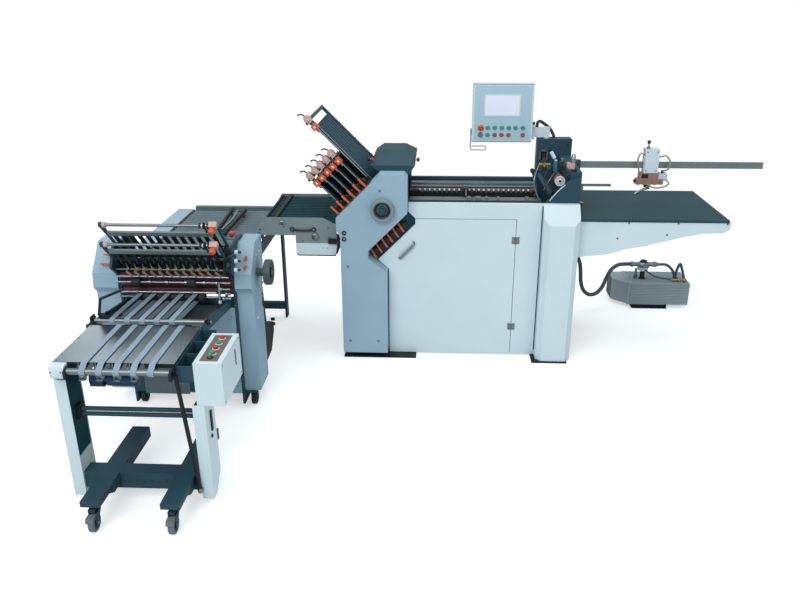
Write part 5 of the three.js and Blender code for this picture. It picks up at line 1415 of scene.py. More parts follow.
@dataclass
class FeedTable:
    """Feed table, its brackets, the suction rail and the sliding suction head."""

    top: float = 820.0
    bolts: tuple[tuple[float, float], ...] = (
        (463.5, 800.0), (726.3, 800.0), (985.0, 800.0), (409.9, 713.6), (672.8, 736.6))
    head_x: float = 624.0
    lever_x: float = 602.0
    lever_y: float = 311.0
    rail_y: float = 330.0

    def table(self) -> None:
        """Finishes the table and adds bolts, edge trim and the pile guide."""
        dress("feed_table", BENCH_PAINT, 2.0)
        dress("feed_table_frame", WHITE_PAINT, 2.0)
        dress("suction_rail", ALUMINIUM, 1.0)
        form = Form("feed_table_bolts")
        for x, z in self.bolts:
            form.screw((x, 5, z), FRONT, 5.5, TURNED_STEEL)
            form.screw((x, 650, z), BACK, 5.5, TURNED_STEEL)
        form.done(slot="steel")
        guide = Form("pile_guide")
        guide.block((226, 322, 924), (418, 326, 938), TURNED_STEEL, 1)
        guide.block((226, 318, 900), (262, 323, 930), ALUMINIUM, 1.5)
        guide.rod((244, 320, self.top), (244, 320, 905), 5, TURNED_STEEL, 12)
        guide.block((214, 300, self.top + 0.2), (270, 340, 832), ALUMINIUM, 2)
        guide.done(slot="aluminium")

    def head(self) -> None:
        """Suction head: white body on the rail, rose manifold, valve, curved pipe and hose loops."""
        x, y, lever_y = self.head_x, self.rail_y, self.lever_y
        form = Form("suction_head_set", "suction_head")
        front, back = 289.0, 347.0
        z0, z1 = 1010.0, 1143.0
        form.block((x - 38, front, z0), (x + 38, y - 7, z1), WHITE_PAINT, 5)
        form.block((x - 38, y - 9, z0), (x + 38, back, 1029), WHITE_PAINT, 2)
        form.block((x - 38, y - 9, 1067), (x + 38, back, z1), WHITE_PAINT, 5)
        form.block((x - 38, y + 7, z0 + 2), (x + 38, back, z1 - 4), WHITE_PAINT, 2)
        for dx, z in ((-28, 1128), (28, 1128), (-28, 1024), (28, 1024)):
            form.screw((x + dx, front, z), FRONT, 4, TURNED_STEEL)
        form.rod((self.lever_x, lever_y, z1), (self.lever_x, lever_y, z1 + 10), 10, ALUMINIUM, 20)
        form.block((x - 76, front + 2, 944), (x + 76, front + 40, 976), COPPER_COAT, 4)
        form.block((x - 60, front, 970), (x + 46, front + 43, 1010.5), COPPER_COAT, 5)
        form.block((x - 48, front - 1, 980), (x - 12, front + 6, 1004), SOOT_PAINT, 2)
        for dx in (-66, -34, 14, 58):
            form.screw((x + dx, front + 2, 960), FRONT, 3.4, BRASS)
        for dx in (-56, -24, 8, 36):
            form.rod((x + dx, lever_y, 938), (x + dx, lever_y, 946), 8, BRASS, 6)
        form.rod((x, lever_y, 914), (x, lever_y, 948), 9, CHROME, 18)
        form.tube([(x, 309, 920), (x - 22, 300, 916), (x - 50, 292, 906), (x - 76, 290, 890)], 6.5, CHROME,
                  14, up=BACK, steps=6)
        form.ball((x - 22, 296, 936), 9, BLACK_PLASTIC, 14)
        form.rod((x - 86, 306, 962), (x - 74, 306, 962), 9, BLACK_PLASTIC, 16)
        form.block((x + 42, front + 4, 964), (x + 95, back - 6, 1006), BLUE_WHITE_PLASTIC, 4)
        form.block((x + 30, front + 12, 972), (x + 46, back - 14, 992), ALUMINIUM, 3)
        form.rod((x + 70, front + 22, 1004), (x + 70, front + 22, 1022), 8, BLACK_PLASTIC, 16)
        right = [(x + 38, 300, 1098), (x + 76, 292, 1106), (x + 100, 288, 1074), (x + 96, 290, 1034),
                 (x + 70, 306, 1018)]
        under = [(x + 90, 292, 974), (x + 104, 278, 952), (x + 66, 270, 934), (x + 20, 280, 930),
                 (x - 14, 294, 946)]
        left = [(x - 38, 306, 1112), (x - 66, 292, 1118), (x - 78, 290, 1084), (x - 62, 296, 1010)]
        for route in (right, under, left):
            form.tube(route, 4.4, BEIGE_HOSE, 10, up=(0, 1, 0.3), steps=6)
        form.done("suction_head", slot="white_paint")
        lever = Form("suction_lever_knobbed", "suction_lever")
        at = self.lever_x
        lever.ball((at, lever_y, 1159), 5.6, CHROME)
        lever.rod((at, lever_y, 1162), (at, lever_y, 1180), 3.6, CHROME, 14)
        knob = [(0, 4), (2, 8), (10, 10), (16, 8.6), (19.5, 4), (20, 0)]
        lever.turned((at, lever_y, 1170), (at, lever_y, 1171), knob, BLACK_PLASTIC, 22)
        lever.done("suction_lever", slot="black_plastic")

    def rail_clamp(self) -> None:
        """Clamp of two cheeks that holds the rail on the head beam."""
        form = Form("rail_clamps")
        for near, far in ((318.0, 323.8), (336.2, 344.0)):
            form.block((198.3, near, 1022), (236, far, 1074), SLATE_PAINT, 2)
        for z in (1034, 1060):
            form.screw((216, 318, z), FRONT, 5, TURNED_STEEL)
        form.done(slot="slate_paint")

    def build(self) -> None:
        """Builds the table and all that stands over it."""
        self.table()
        self.head()
        self.rail_clamp()


@dataclass
class VacuumPump:
    """Vacuum pump on the floor: finned case, louvred nose, regulator, fittings and thin hoses."""

    x0: float = 708.0
    x1: float = 1105.0
    y0: float = 760.0
    y1: float = 1000.0
    nose: float = 98.0
    foot: float = 16.0
    top: float = 172.0
    port: tuple[float, float, float] = (808.0, 860.0, 270.0)

    def case(self, form: Form) -> None:
        """Case with fine ribs on its front and a sloping louvred nose.

        Args:
            form: the pump that takes it.
        """
        x0, x1, y0, y1 = self.x0, self.x1, self.y0, self.y1
        plan = rectangle(x0, y0 + 4, x1 - 4, y1 - 4)
        form.prism(plan, "z", self.foot + 4, self.top - 2, PUMP_PAINT, 6)
        nose = [(x0 - 3, y0 + 6), (x0 - 3, y1 - 4), (x0 - self.nose + 2, y1 - 4),
                (x0 - self.nose + 2, y0 + 92)]
        form.prism(nose, "z", self.foot + 8, self.top - 5, PUMP_PAINT, 6)
        form.block((x0 - 5, y0 + 2, self.foot + 2), (x0 + 5, y1 - 2, self.top - 0.5), PUMP_PAINT, 3)
        for i in range(13):
            z = self.foot + 14 + i * 11
            form.block((x0 + 8, y0, z), (x1 - 10, y0 + 6, z + 5.5), PUMP_PAINT, 1.2)
        for i in range(15):
            y = y0 + 14 + i * 15
            form.block((x0 + 10, y, self.top - 4), (x1 - 12, y + 7, self.top - 0.2), PUMP_PAINT, 1)
        left = x0 - self.nose
        for i in range(8):
            z = self.foot + 20 + i * 17
            form.block((left + 0.3, y0 + 104, z), (left + 6, y1 - 16, z + 9), SOOT_PAINT, 2)
        form.block((x0 + 24, y0 - 18, 0), (x0 + 254, y0 + 182, 5), SOOT_PAINT, 1.2)
        for x in (x0 + 26, x0 + 246):
            form.block((x, y0 - 10, 3), (x + 6, y0 + 176, self.foot + 6), SOOT_PAINT, 1.2)
            form.screw((x + 3, y0 - 12, 5), UP, 4, TURNED_STEEL)
        form.block((x0 + 30, y0 + 6, 3), (x0 + 248, y0 + 14, self.foot + 6), SOOT_PAINT, 1.2)

    def regulator(self, form: Form) -> None:
        """Vacuum filter and regulator: round body on a stem, white bowl band, knob and cross pipe.

        Args:
            form: the pump that takes it.
        """
        x, y, z = self.port
        form.turned((x, y, self.top - 3), (x, y, self.top), [(0, 24), (5, 24), (8, 15), (54, 15), (60, 26)],
                    BLACK_PLASTIC, 24)
        form.turned((x, y, z - 42), (x, y, z), [(0, 22), (3, 34), (20, 36), (24, 34)], WHITE_PLASTIC, 32)
        band = [(0, 32), (4, 38), (22, 40), (30, 34), (36, 26)]
        form.turned((x, y, z - 20), (x, y, z), band, ALUMINIUM, 32)
        form.turned((x, y, z + 12), (x, y, z + 13), [(0, 20), (2, 22), (14, 22), (17, 17), (18.5, 0)],
                    BLACK_PLASTIC, 24)
        pipe = [(0, 13.2), (0, 18), (16, 18), (18, 15), (146, 15), (148, 18), (164, 18), (164, 0)]
        form.turned((x - 82, y, z), (x + 82, y, z), pipe, ALUMINIUM, 20)
        union = [(-1, 11), (5, 13), (15, 13), (17, 9), (26, 9)]
        form.turned((x + 82, y, z), (x + 112, y, z), union, BRASS, 6)
        form.turned((x - 44, y, z - 30), (x - 44, y, z - 90), [(0, 8), (40, 8), (42, 11), (69, 11)],
                    TURNED_STEEL, 16)

    def hoses(self, form: Form) -> None:
        """Return hoses from the regulator to the pump's head, and its brass fittings.

        Args:
            form: the pump that takes them.
        """
        x, y, z = self.port
        pipe_y, manifold = y - 66, self.top + 14
        form.tube([(x + 104, y, z), (x + 150, y - 2, z - 2), (x + 190, y - 8, z - 34),
                   (x + 208, y - 12, self.top + 22), (x + 210, y - 12, self.top - 2)], 9, SLATE_HOSE, 14,
                  up=BACK, steps=8)
        form.tube([(x + 214, y - 8, self.top + 4), (x + 222, y - 6, self.top + 60),
                   (x + 240, y - 4, self.top + 104), (x + 258, y - 8, self.top + 60),
                   (x + 262, y - 40, self.top + 26), (x + 262, y - 56, self.top + 16)], 9, SLATE_HOSE, 14,
                  up=(0, 1, 0.1), steps=8)
        form.tube([(x + 6, y - 40, z - 28), (x + 60, y - 60, z - 60), (x + 130, pipe_y, self.top + 22),
                   (x + 180, pipe_y, manifold)], 5.5, SLATE_HOSE, 12, steps=8)
        form.rod((x + 172, pipe_y, manifold), (x + 262, pipe_y, manifold), 7.5, BRASS, 6)
        for at in (186, 222, 258):
            form.rod((x + at - 7, pipe_y, manifold), (x + at + 7, pipe_y, manifold), 11.5, BRASS, 6)
        form.rod((x + 262, pipe_y, self.top - 3), (x + 262, pipe_y, self.top + 16), 9, BRASS, 6)
        form.turned((x + 222, y - 14, self.top - 3), (x + 222, y - 14, self.top),
                    [(0, 24), (4, 24), (8, 20), (12, 20), (14, 16)], BLUE_ENAMEL, 24)
        form.turned((x + 206, y - 12, self.top - 2), (x + 206, y - 12, self.top),
                    [(0, 14), (10, 14), (12, 10)], BRASS, 6)

    def build(self) -> None:
        """Builds the pump in place of its plain solid."""
        form = Form("vacuum_pump_set")
        self.case(form)
        self.regulator(form)
        self.hoses(form)
        form.done("vacuum_pump", slot="slate_paint")


@dataclass
class TransferConveyor:
    """Conveyor between the fold units: side plates, ribbed teal bed, clamp handle and drive box."""

    x1: float = -1121.0
    length: float = 438.0
    depth: float = 534.0
    top: float = 812.0
    ribs: int = 15
    pulleys: int = 9
    shaft_z: float = 789.0
    handle_z: float = 748.0

    def side_outline(self) -> Outline:
        """Gives the side plates' outline.

        Returns:
            Points in X and Z.
        """
        x0, x1 = self.x1 - self.length, self.x1
        tab = x1 - 229
        return [(x0, 712), (tab, 712), (tab, 668), (x1, 668), (x1, 776), (x1 - 74, self.top),
                (x0 + 37, self.top), (x0, 752)]

    def build(self) -> None:
        """Builds the conveyor in place of its plain solid, and finishes the drive box."""
        x0, x1 = self.x1 - self.length, self.x1
        shaft_x, shaft_z, handle_z = x0 + 66, self.shaft_z, self.handle_z
        form = Form("transfer_conveyor_set")
        for y in (0.0, self.depth - 6):
            form.prism(self.side_outline(), "y", y, y + 6, OLIVE_PAINT, 1.2)
        form.block((x0 + 37, 0.3, 777), (x1, self.depth - 0.3, 794), TEAL_PAINT, 2)
        form.block((x1 - 6, 42, 777), (x1 + 3.2, 500, 797), SLATE_PAINT, 1)
        form.block((x0 + 37, 0.3, 718), (x0 + 74, self.depth - 0.3, 778), SLATE_PAINT, 2)
        for i in range(self.ribs):
            y = 22 + i * 34
            form.block((x0 + 96, y, 793), (x1 - 4, y + 21, 797), TEAL_PAINT, 1.2)
        for i in range(self.pulleys):
            y = 30 + i * 56
            form.rod((shaft_x, y, shaft_z), (shaft_x, y + 40, shaft_z), 12, BLACK_RUBBER, 16)
        form.rod((shaft_x, 6, shaft_z), (shaft_x, self.depth - 6, shaft_z), 6, CHROME, 14)
        form.block((x0 + 84, 4, 795), (x0 + 108, self.depth - 4, 809), SOOT_PAINT, 3)
        form.block((x0 + 40, 4, 796), (x0 + 50, self.depth - 4, 806), TEAL_PAINT, 2)
        form.turned((-1421, 0, 780), (-1421, -1, 780), [(-1, 12), (2, 15), (9, 15), (11, 12), (8, 9), (8, 0)],
                    CHROME, 24)
        form.tube([(-1366, -6, handle_z), (-1340, -9, 744), (-1270, -9, 744), (-1248, -6, 749)], 6,
                  BLACK_PLASTIC, 12, up=BACK, steps=5)
        for x in (-1366, -1246):
            form.turned((x, 0, handle_z), (x, -1, handle_z), [(-1, 11), (2, 13), (9, 13), (11, 10), (11, 0)],
                        BLACK_PLASTIC, 22)
            form.turned((x, -10, handle_z), (x, -11, handle_z), [(0, 7), (2.4, 6), (2.4, 0)], CHROME, 18)
        form.turned((-1240, 0, 708), (-1240, -1, 708), [(-1, 17), (3, 19), (12, 18), (15, 12), (15, 0)],
                    ALUMINIUM, 28)
        for x, z, radius, finish in ((-1168, 757, 5, TURNED_STEEL), (-1312, 680, 4, TURNED_STEEL),
                                     (x0 + 14, 744, 5, BLACK_PLASTIC), (x0 + 8, 722, 5, BLACK_PLASTIC)):
            form.screw((x, 0, z), FRONT, radius, finish)
        form.block((-1168, -14, 668.2), (-1124, 0.5, 696), SOOT_PAINT, 4)
        form.done("transfer_conveyor", slot="slate_paint")
        dress("transfer_drive_box", WHITE_PAINT, 6.0)
        fittings = Form("drive_box_fittings")
        for x, z, radius in ((-1200, 640, 3.2), (-1178, 640, 3.2), (-1338, 604, 3), (-1134, 604, 3)):
            fittings.screw((x, 0, z), FRONT, radius, TURNED_STEEL)
        fittings.block((-1342, 4, 592), (-1130, 170, 600.2), SOOT_PAINT, 2)
        fittings.tube([(-1130, -8, 682), (-1119, -9, 676), (-1117, -6, 650), (-1124, -2, 612)], 4.5,
                      HOSE_RUBBER, 10, up=BACK, steps=5)
        fittings.done(slot="white_paint")


@dataclass
class CrossUnit:
    """Right-angle fold unit: covers, register rollers, buckle plates, folding shafts and outfeed belts."""

    left: float = -2080.0
    right: float = -1540.0
    belt_start: float = -1974.0
    belt_pitch: float = 66.0
    belts: int = 5
    belt_width: float = 24.0
    roots: tuple[tuple[float, float], ...] = ((625.0, 727.0), (568.0, 772.0))
    lengths: tuple[float, ...] = (262.0, 322.0)
    roller: tuple[float, float] = (-1030.0, 636.0)
    register_span: tuple[float, float] = (-2064.0, -1560.0)
    register_rollers: int = 24
    pocket_bars: int = 13
    fingers: int = 12
    yellow_wheels: int = 10
    finger_shaft: tuple[float, float] = (-690.0, 752.0)
    pull_shaft: tuple[float, float] = (-706.0, 722.0)
    nip_shaft: tuple[float, float] = (-690.0, 688.0)
    guide_shaft: tuple[float, float] = (-700.0, 642.0)
    belt_shaft: tuple[float, float] = (-690.0, 614.0)
    cover_side: float = -1447.7
    guard_rows: tuple[float, float] = (-900.0, -1044.0)
    knob_row: float = -524.0
    lever_side: float = -1480.0
    # Front, back, lower edge and upper edge of the panels between the legs
    front_panel: tuple[float, float, float, float] = (-653.5, -650.5, 78.0, 543.0)

    def paint(self) -> None:
        """Finishes the frame, the covers and the register table."""
        dress("cross_frame", SLATE_PAINT, 1.5)
        dress("cross_cover_left", BLUE_GREY_PAINT, 3.0)
        dress("cross_cover_right", BLUE_GREY_PAINT, 3.0)
        dress("cross_register_table", BLUE_GREY_PAINT, 2.0)
        dress("cross_fold_roller", TURNED_STEEL, 1.0)

    def register(self) -> None:
        """Skewed register rollers, slot, rear rail and side lay on the table."""
        form = Form("cross_register_rollers")
        x0, x1 = self.register_span
        form.block((x0 - 16, -396, 700), (x0 - 4, 520, 706), SOOT_PAINT, 1.5)
        form.block((x0, 516, 700.2), (x1, 550, 728), GREY_PAINT, 3)
        form.block((x0, -396, 700.2), (x1, 510, 703), SLATE_PAINT, 0.8)
        for i in range(self.register_rollers):
            y = -376 + i * 37
            form.rod((x0 + 6, y, 704), (x1 - 4, y + 14, 704), 8.5, GREY_PAINT, 12)
        form.block((-2180, -392, 700.2), (x0 - 22, 548, 704), BLUE_GREY_PAINT, 1.5)
        form.done(slot="blue_grey_paint")
        lay = Form("cross_side_lay")
        for (xa, ya), (xb, yb) in (((-1781, 23), (-1808, 443)), ((-1727, -100), (-1722, 407))):
            route = [(xa, ya, 740), ((xa + xb) / 2, (ya + yb) / 2, 740), (xb, yb, 740)]
            lay.sweep(route, rectangle(-7, -9, 7, 9), SOOT_PAINT)
            for share in (0.12, 0.88):
                x, y = xa + (xb - xa) * share, ya + (yb - ya) * share
                lay.rod((x, y, 702), (x, y, 734), 7, TURNED_STEEL, 14)
        lay.sweep([(-1754, -16, 744), (-1748, 190, 744), (-1764, 380, 744)], rectangle(-6, -4, 6, 4), CHROME)
        for y in (10, 370):
            lay.block((-1802, y, 736), (-1720, y + 12, 742), SLATE_PAINT, 2)
        lay.done(slot="slate_paint")

    def plate_pose(self, index: int) -> Matrix:
        """Gives the turn and shift of a buckle plate: Y up towards the operator, X across.

        Args:
            index: number of the plate from zero.

        Returns:
            The pose, in working millimetres.
        """
        y, z = self.roots[index]
        return Matrix.Translation((0, -y, z)) @ Matrix.Rotation(0.75 * math.pi, 4, "X")

    def buckle_plates(self) -> None:
        """Two buckle plates with barred pockets, channel, spindle rod, gearbox and counter."""
        for index, length in enumerate(self.lengths):
            form = Form(f"cross_plate_{index + 1}_set", f"cross_buckle_plate_{index + 1}",
                        self.plate_pose(index))
            x0, x1 = self.left + 0.3, self.right - 0.3
            sheet = length * 0.8
            for x in (x0, x1 - 10):
                form.block((x, 0, -5), (x + 10, length - 12, 5), SLATE_PAINT, 1.5)
            form.block((x0 + 10, sheet - 34, -5), (x1 - 44, sheet, 4), OLIVE_PAINT, 2)
            form.block((x0 + 10, 0, -3), (x1 - 10, 26, 3), SLATE_PAINT, 1.5)
            form.block((x0 + 10, sheet * 0.46, -2), (x1 - 10, sheet * 0.5, 2), SOOT_PAINT, 1)
            for i in range(self.pocket_bars):
                x = x0 + 24 + i * 38.5
                for z in (-3.2, 1.2):
                    form.block((x, 4, z), (x + 19, sheet - 6, z + 2.0), SOOT_PAINT, 0.6)
            rod_end = x1 - 64
            form.rod((x0 + 10, length, 0), (rod_end, length, 0), 7, TURNED_STEEL, 18)
            form.turned((x0 + 16, length, 0), (x0 + 60, length, 0),
                        [(0, 9), (0, 13), (14, 13), (16, 10), (18, 9)], PALE_ROSE, 20)
            form.turned((x0, length, 0), (x0 + 16, length, 0), [(0, 11), (2, 13), (12, 13), (14, 11)],
                        SLATE_PAINT, 20)
            lug = [(x0, length + 12), (x0 + 12, length + 12), (x0 + 12, length - 66), (x0, length - 66)]
            form.prism(lug, "z", -7, 7, SLATE_PAINT, 2)
            for start, radius, finish in ((-22, 13, BLACK_PLASTIC), (-12, 9, WHITE_PLASTIC),
                                          (-4, 15, SOOT_PAINT), (8, 11, ALUMINIUM), (16, 15, BLACK_PLASTIC)):
                form.turned((rod_end + start, length, 0), (rod_end + start + 1, length, 0),
                            [(0, radius - 2), (1, radius), (6, radius), (7, radius - 2)], finish, 22)
            gearbox = [(rod_end + 22, length + 13), (x1 - 6, length + 13), (x1 - 6, length - 12),
                       (rod_end + 30, length - 13), (rod_end + 22, length - 4)]
            form.prism(gearbox, "z", -15, 11, PALE_ROSE, 4)
            form.turned((x1 - 28, length - 8, 23), (x1 - 28, length - 7, 23),
                        [(-8, 10), (-6, 14), (9, 14), (13, 11), (13, 0)], ORANGE_PLASTIC, 24)
            form.block((x1 - 38, length - 12, 6), (x1 - 18, length - 2, 22), SOOT_PAINT, 2)
            form.block((x1 - 30, length - 26, -19), (x1 - 14, length - 10, -15), WHITE_PLASTIC, 1)
            form.rod((rod_end + 4, length, 4), (rod_end + 4, length - 44, 10), 5, BLACK_PLASTIC, 12)
            form.rod((x1 - 26, length - 6, -12), (x1 - 26, length - 6, -26), 6, ORANGE_PLASTIC, 12)
            form.done(f"cross_buckle_plate_{index + 1}", slot="slate_paint")

    def fold_shafts(self) -> None:
        """Fingers with yellow wheels and copper tips, the chromed shafts, and the maroon rollers."""
        form = Form("cross_fold_shafts")
        x0, x1 = self.left + 0.3, self.right - 0.3
        form.prism([(-600, 742), (-608, 734), (-690, 792), (-683, 800)], "x", x0 + 6, x1 - 6, SOOT_PAINT, 1)
        finger = [(-622, 768), (-632, 756), (-700, 802), (-712, 786), (-716, 800), (-700, 814)]
        for i in range(self.fingers):
            x = x0 + 64 + i * 38.5
            form.prism(finger, "x", x - 26, x - 22, SLATE_PAINT, 0.6)
            form.sweep([(x - 30, -640, 806), (x - 14, -686, 778), (x + 2, -704, 756)],
                       rectangle(-3, -1.6, 3, 1.6), TURNED_STEEL, up=(0, -0.7, 0.7))
            form.sweep([(x - 9, -706, 748), (x + 4, -708, 738), (x + 17, -708, 724)], rectangle(-5, -3, 5, 3),
                       COPPER_COAT, up=FRONT)
        y, z = self.finger_shaft
        for i in range(self.yellow_wheels):
            x = x0 + 104 + i * 36.5
            form.rod((x - 8, y, z), (x + 8, y, z), 9.5, OLIVE_RUBBER, 20)
        for (y, z), radius, finish, sides in ((self.finger_shaft, 4, TURNED_STEEL, 12),
                                              (self.pull_shaft, 4.6, CHROME, 18),
                                              (self.nip_shaft, 4.6, CHROME, 16)):
            form.rod((x0, y, z), (x1, y, z), radius, finish, sides)
        y, z = self.nip_shaft
        for x in (-1924, -1842, -1752, -1662, -1600):
            form.turned((x - 7, y, z), (x + 7, y, z), [(0, 8), (1, 10.5), (13, 10.5), (14, 8)], CHROME, 20)
        for roller_y, roller_z, radius in ((-640, 668, 19), (-650, 708, 17), (-630, 628, 19)):
            form.rod((x0, roller_y, roller_z), (x1, roller_y, roller_z), radius, MAROON_RUBBER, 28)
        for x in (-1990, -1724):
            form.rod((x - 19, y, z), (x + 19, y, z), 22, BLACK_RUBBER, 28)
            form.rod((x - 20, y, z), (x + 20, y, z), 9, GREY_PAINT, 18)
        y, z = self.guide_shaft
        form.rod((-2076, y, z), (-1606, y, z), 5.5, CHROME, 16)
        belt_y, belt_z = self.belt_shaft
        pulley = [(0, 12), (1, 21), (3, 23), (27, 23), (29, 21), (30, 12)]
        for i in range(self.belts):
            x = self.belt_start + i * self.belt_pitch
            form.rod((x - 19, y, z), (x - 6, y, z), 7.5, TURNED_STEEL, 18)
            form.turned((x + 17, belt_y - 4, belt_z), (x + 18, belt_y - 4, belt_z), pulley, BLACK_RUBBER, 28)
            form.rod((x - 16, belt_y, belt_z), (x + 16, belt_y, belt_z), 17, BLACK_RUBBER, 26)
        form.rod((x0, belt_y, belt_z), (x1, belt_y, belt_z), 5, TURNED_STEEL, 14)
        for x, z in ((-1584, 660), (-1560, 636), (-1574, 612)):
            form.rod((x, y, z), (x1, y, z), 6, TURNED_STEEL, 14)
            form.turned((x - 6, y, z), (x + 8, y, z), [(0, 8), (2, 11), (12, 11), (14, 8)], TURNED_STEEL, 18)
        probe = (-1592, -706)
        form.rod((*probe, 700), (*probe, 606), 6, CHROME, 14)
        tip = [(0, 6), (2, 8), (14, 8), (18, 4)]
        form.turned((*probe, 606), (*probe, 590), tip, WHITE_PLASTIC, 16)
        form.done(slot="steel")

    def outfeed(self) -> None:
        """Upper belts from the folding shafts to the chromed rear roller, and the guards beside them."""
        form = Form("outfeed_belts")
        y1, z1 = self.roller
        x0, x1 = self.left + 16, self.right - 16
        form.rod((x0 + 11, y1, z1), (x1 - 11, y1, z1), 12.5, ROLLER_STEEL, 28)
        form.rod((x0 + 2, y1, z1), (x1 - 2, y1, z1), 6, TURNED_STEEL, 14)
        for i in range(self.belts):
            x = self.belt_start + i * self.belt_pitch
            loop = belt_loop((*self.belt_shaft, 18.6), (y1, z1, 14.1))
            form.belt(x, loop, self.belt_width, 2.0, BELT_CANVAS)
        for x in (x0, x1 - 10):
            form.block((x + 1, y1 - 16, z1 - 17), (x + 9, y1 + 18, z1 + 15), SOOT_PAINT, 3)
            form.screw((x + 5, y1, z1 + 14), UP, 4, GREY_PAINT)
        form.done(slot="polyurethane")
        self.panels()
        guard = Form("outfeed_guards")
        near_y, far_y = self.guard_rows
        near = [(-1974, near_y, 729), (-2079, near_y, 684), (-2096, near_y, 605), (-1990, near_y, 610)]
        far = [(-1909, far_y, 786), (-2009, far_y, 743), (-2025, far_y, 668), (-1990, far_y, 664)]
        for one, two in (*zip(near, near[1:]), *zip(far, far[1:]), *zip(near, far)):
            guard.rod(one, two, 6, SOOT_PAINT, 12)
        for i, thick, finish in ((0, (1, 0, 4), BLUE_GREY_PAINT), (1, (4, 0, 1), SLATE_PAINT)):
            sheet = [near[i], near[i + 1], far[i + 1], far[i]]
            guard.hull([sheet, [tuple(Vector(corner) + Vector(thick)) for corner in sheet]], finish)
        guard.block((-2064, -912, 600), (-2050, -888, 622), SOOT_PAINT, 3)
        guard.rod((-2096, near_y, 608), (-2052, near_y, 611), 6, SOOT_PAINT, 12)
        guard.block((x0 - 4, y1 - 18, z1 - 24), (x0 + 4, y1 + 22, z1 + 22), SOOT_PAINT, 3)
        guard.rod((x1 + 1, y1, z1), (x1 + 12, y1, z1), 12, SOOT_PAINT, 20)
        guard.rod((x1 + 10, y1, z1), (x1 + 18, y1, z1), 8, TURNED_STEEL, 16)
        guard.done(slot="slate_paint")

    def panels(self) -> None:
        """Bright sheet under the outfeed belts and the blue-grey front panel between the legs, in two pieces:
        the left piece is painted dark slate as painted shade from the delivery table.
        """
        form = Form("outfeed_sheet")
        x0, x1 = self.left + 30, self.right - 30
        profile = [(-642, 563.6), (-968, 604.9), (-968, 606.1), (-642, 564.8)]
        form.hull([[(x, y, z) for y, z in profile] for x in (x0, x1)], STAINLESS)
        form.done(slot="steel")
        front = Form("cross_front_panel_painted_shade")
        face, back, low, high = self.front_panel
        # Left piece painted dark slate: painted shade under the delivery table, on a panel that is blue-grey
        # all across
        front.block((self.left, face, low), (-1760, back, high), SLATE_PAINT, 0.8)
        front.block((-1758, face, low), (self.right + 0.5, back, high), BLUE_GREY_PAINT, 0.8)
        for x in (self.left + 18, -1560.0):
            for z in (120, 500):
                front.screw((x, face, z), FRONT, 4, TURNED_STEEL)
        front.done(slot="blue_grey_paint")

    def knobs(self) -> None:
        """Clear knobs on black stems, orange clamp levers, valves and the head brackets."""
        form = Form("cross_knobs")
        x, row, side = self.right - 4, self.knob_row, self.lever_side
        bracket = [(-664, 872), (-688, 868), (-734, 752), (-716, 738), (-664, 700)]
        form.prism(bracket, "x", x - 12, x - 6, SOOT_PAINT, 2)
        for y, z in ((-690, 848), (-706, 810), (-722, 772)):
            form.block((x - 8, y - 12, z - 15), (x + 22, y + 14, z + 10), SOOT_PAINT, 4)
            form.rod((x + 18, y - 4, z - 4), (x + 40, y - 4, z - 4), 6, BLACK_PLASTIC, 14)
            form.turned((x + 38, y - 4, z - 4), (x + 60, y - 4, z - 4),
                        [(0, 7), (3, 10.5), (13, 10.5), (17, 7), (17, 0)], BLUE_WHITE_PLASTIC, 22)
            form.rod((x + 56, y - 4, z - 4), (x + 68, y - 4, z - 4), 6, BLACK_PLASTIC, 14)
        for y, z in ((-606, 784), (-628, 744)):
            form.turned((side, y + 4, z + 4), (side, y - 12, z - 10), [(-4, 5), (10, 7), (16, 6), (17, 0)],
                        ORANGE_PLASTIC, 16)
            grip = [(side, y - 10, z - 2), (-1472, y - 18, z + 6), (-1466, y - 20, z + 20)]
            form.tube(grip, 3.4, ORANGE_PLASTIC, 10, steps=4)
        for y, z, far in ((-590, 797, 2162), (-612, 757, 2174)):
            form.rod((-2088, y - 22, z), (-2112, y - 24, z - 2), 9, BLACK_PLASTIC, 16)
            lever = [(-2110, z - 7), (-2110, z + 5), (-far, z + 4), (-far, z + 1)]
            form.prism(lever, "y", y - 36, y - 24, ORANGE_PLASTIC, 2)
            form.turned((-2096, y - 30, z - 22), (-2096, y - 42, z - 26),
                        [(0, 7), (2, 11), (12, 11), (14, 7)], WHITE_PLASTIC, 18)
            form.block((-2092, y - 26, z - 24), (-2066, y + 2, z + 12), SOOT_PAINT, 4)
        form.block((self.right - 44, -556, 860.2), (self.right - 2, -484, 866), GREY_PAINT, 2)
        form.rod((-1560, row, 864), (-1560, row, 876), 7, SOOT_PAINT, 14)
        form.ball((-1560, row, 881), 13, RED_PLASTIC, 16)
        form.rod((-1554, -498, 864), (-1554, -498, 882), 8, RED_PLASTIC, 14)
        for dy in (-22, 0, 24):
            form.rod((-1578, row + dy, 864), (-1578, row + dy, 871), 5, GREEN_PLASTIC, 12)
        form.done(slot="black_plastic")

    def cover_details(self) -> None:
        """Screws, seam, red caps and the black chain guard beside the right cover."""
        form = Form("cross_cover_details")
        x = self.cover_side
        for y, z in ((-529, 776), (-470, 776), (-591.5, 468), (-582, 468)):
            form.screw((x, y, z), RIGHT, 5, WHITE_PLASTIC)
        for y, z in ((-424, 823), (-440, 600), (-476, 552)):
            form.screw((x, y, z), RIGHT, 6, RED_PLASTIC)
        form.block((-1527, -668.5, 646), (x - 2, -634, 648.6), SLATE_PAINT, 0.6)
        guard = [(-455, 600), (-436, 600), (-400, 340), (-318, 332), (-250, 300), (-246, 250), (-330, 168),
                 (-455, 160)]
        form.prism(guard, "x", -1470, -1450, SOOT_PAINT, 3)
        form.block((-1528, -456, 150), (-1464, -430, 420), SOOT_PAINT, 3)
        for y, z in ((-266, 318), (-262, 288)):
            form.rod((-1460, y + 8, z), (-1440, y + 8, z), 9, BLACK_PLASTIC, 16)
        for z in (420, 560):
            form.screw((-1536.6, -656, z), FRONT, 4, TURNED_STEEL)
        form.done(slot="black_paint")

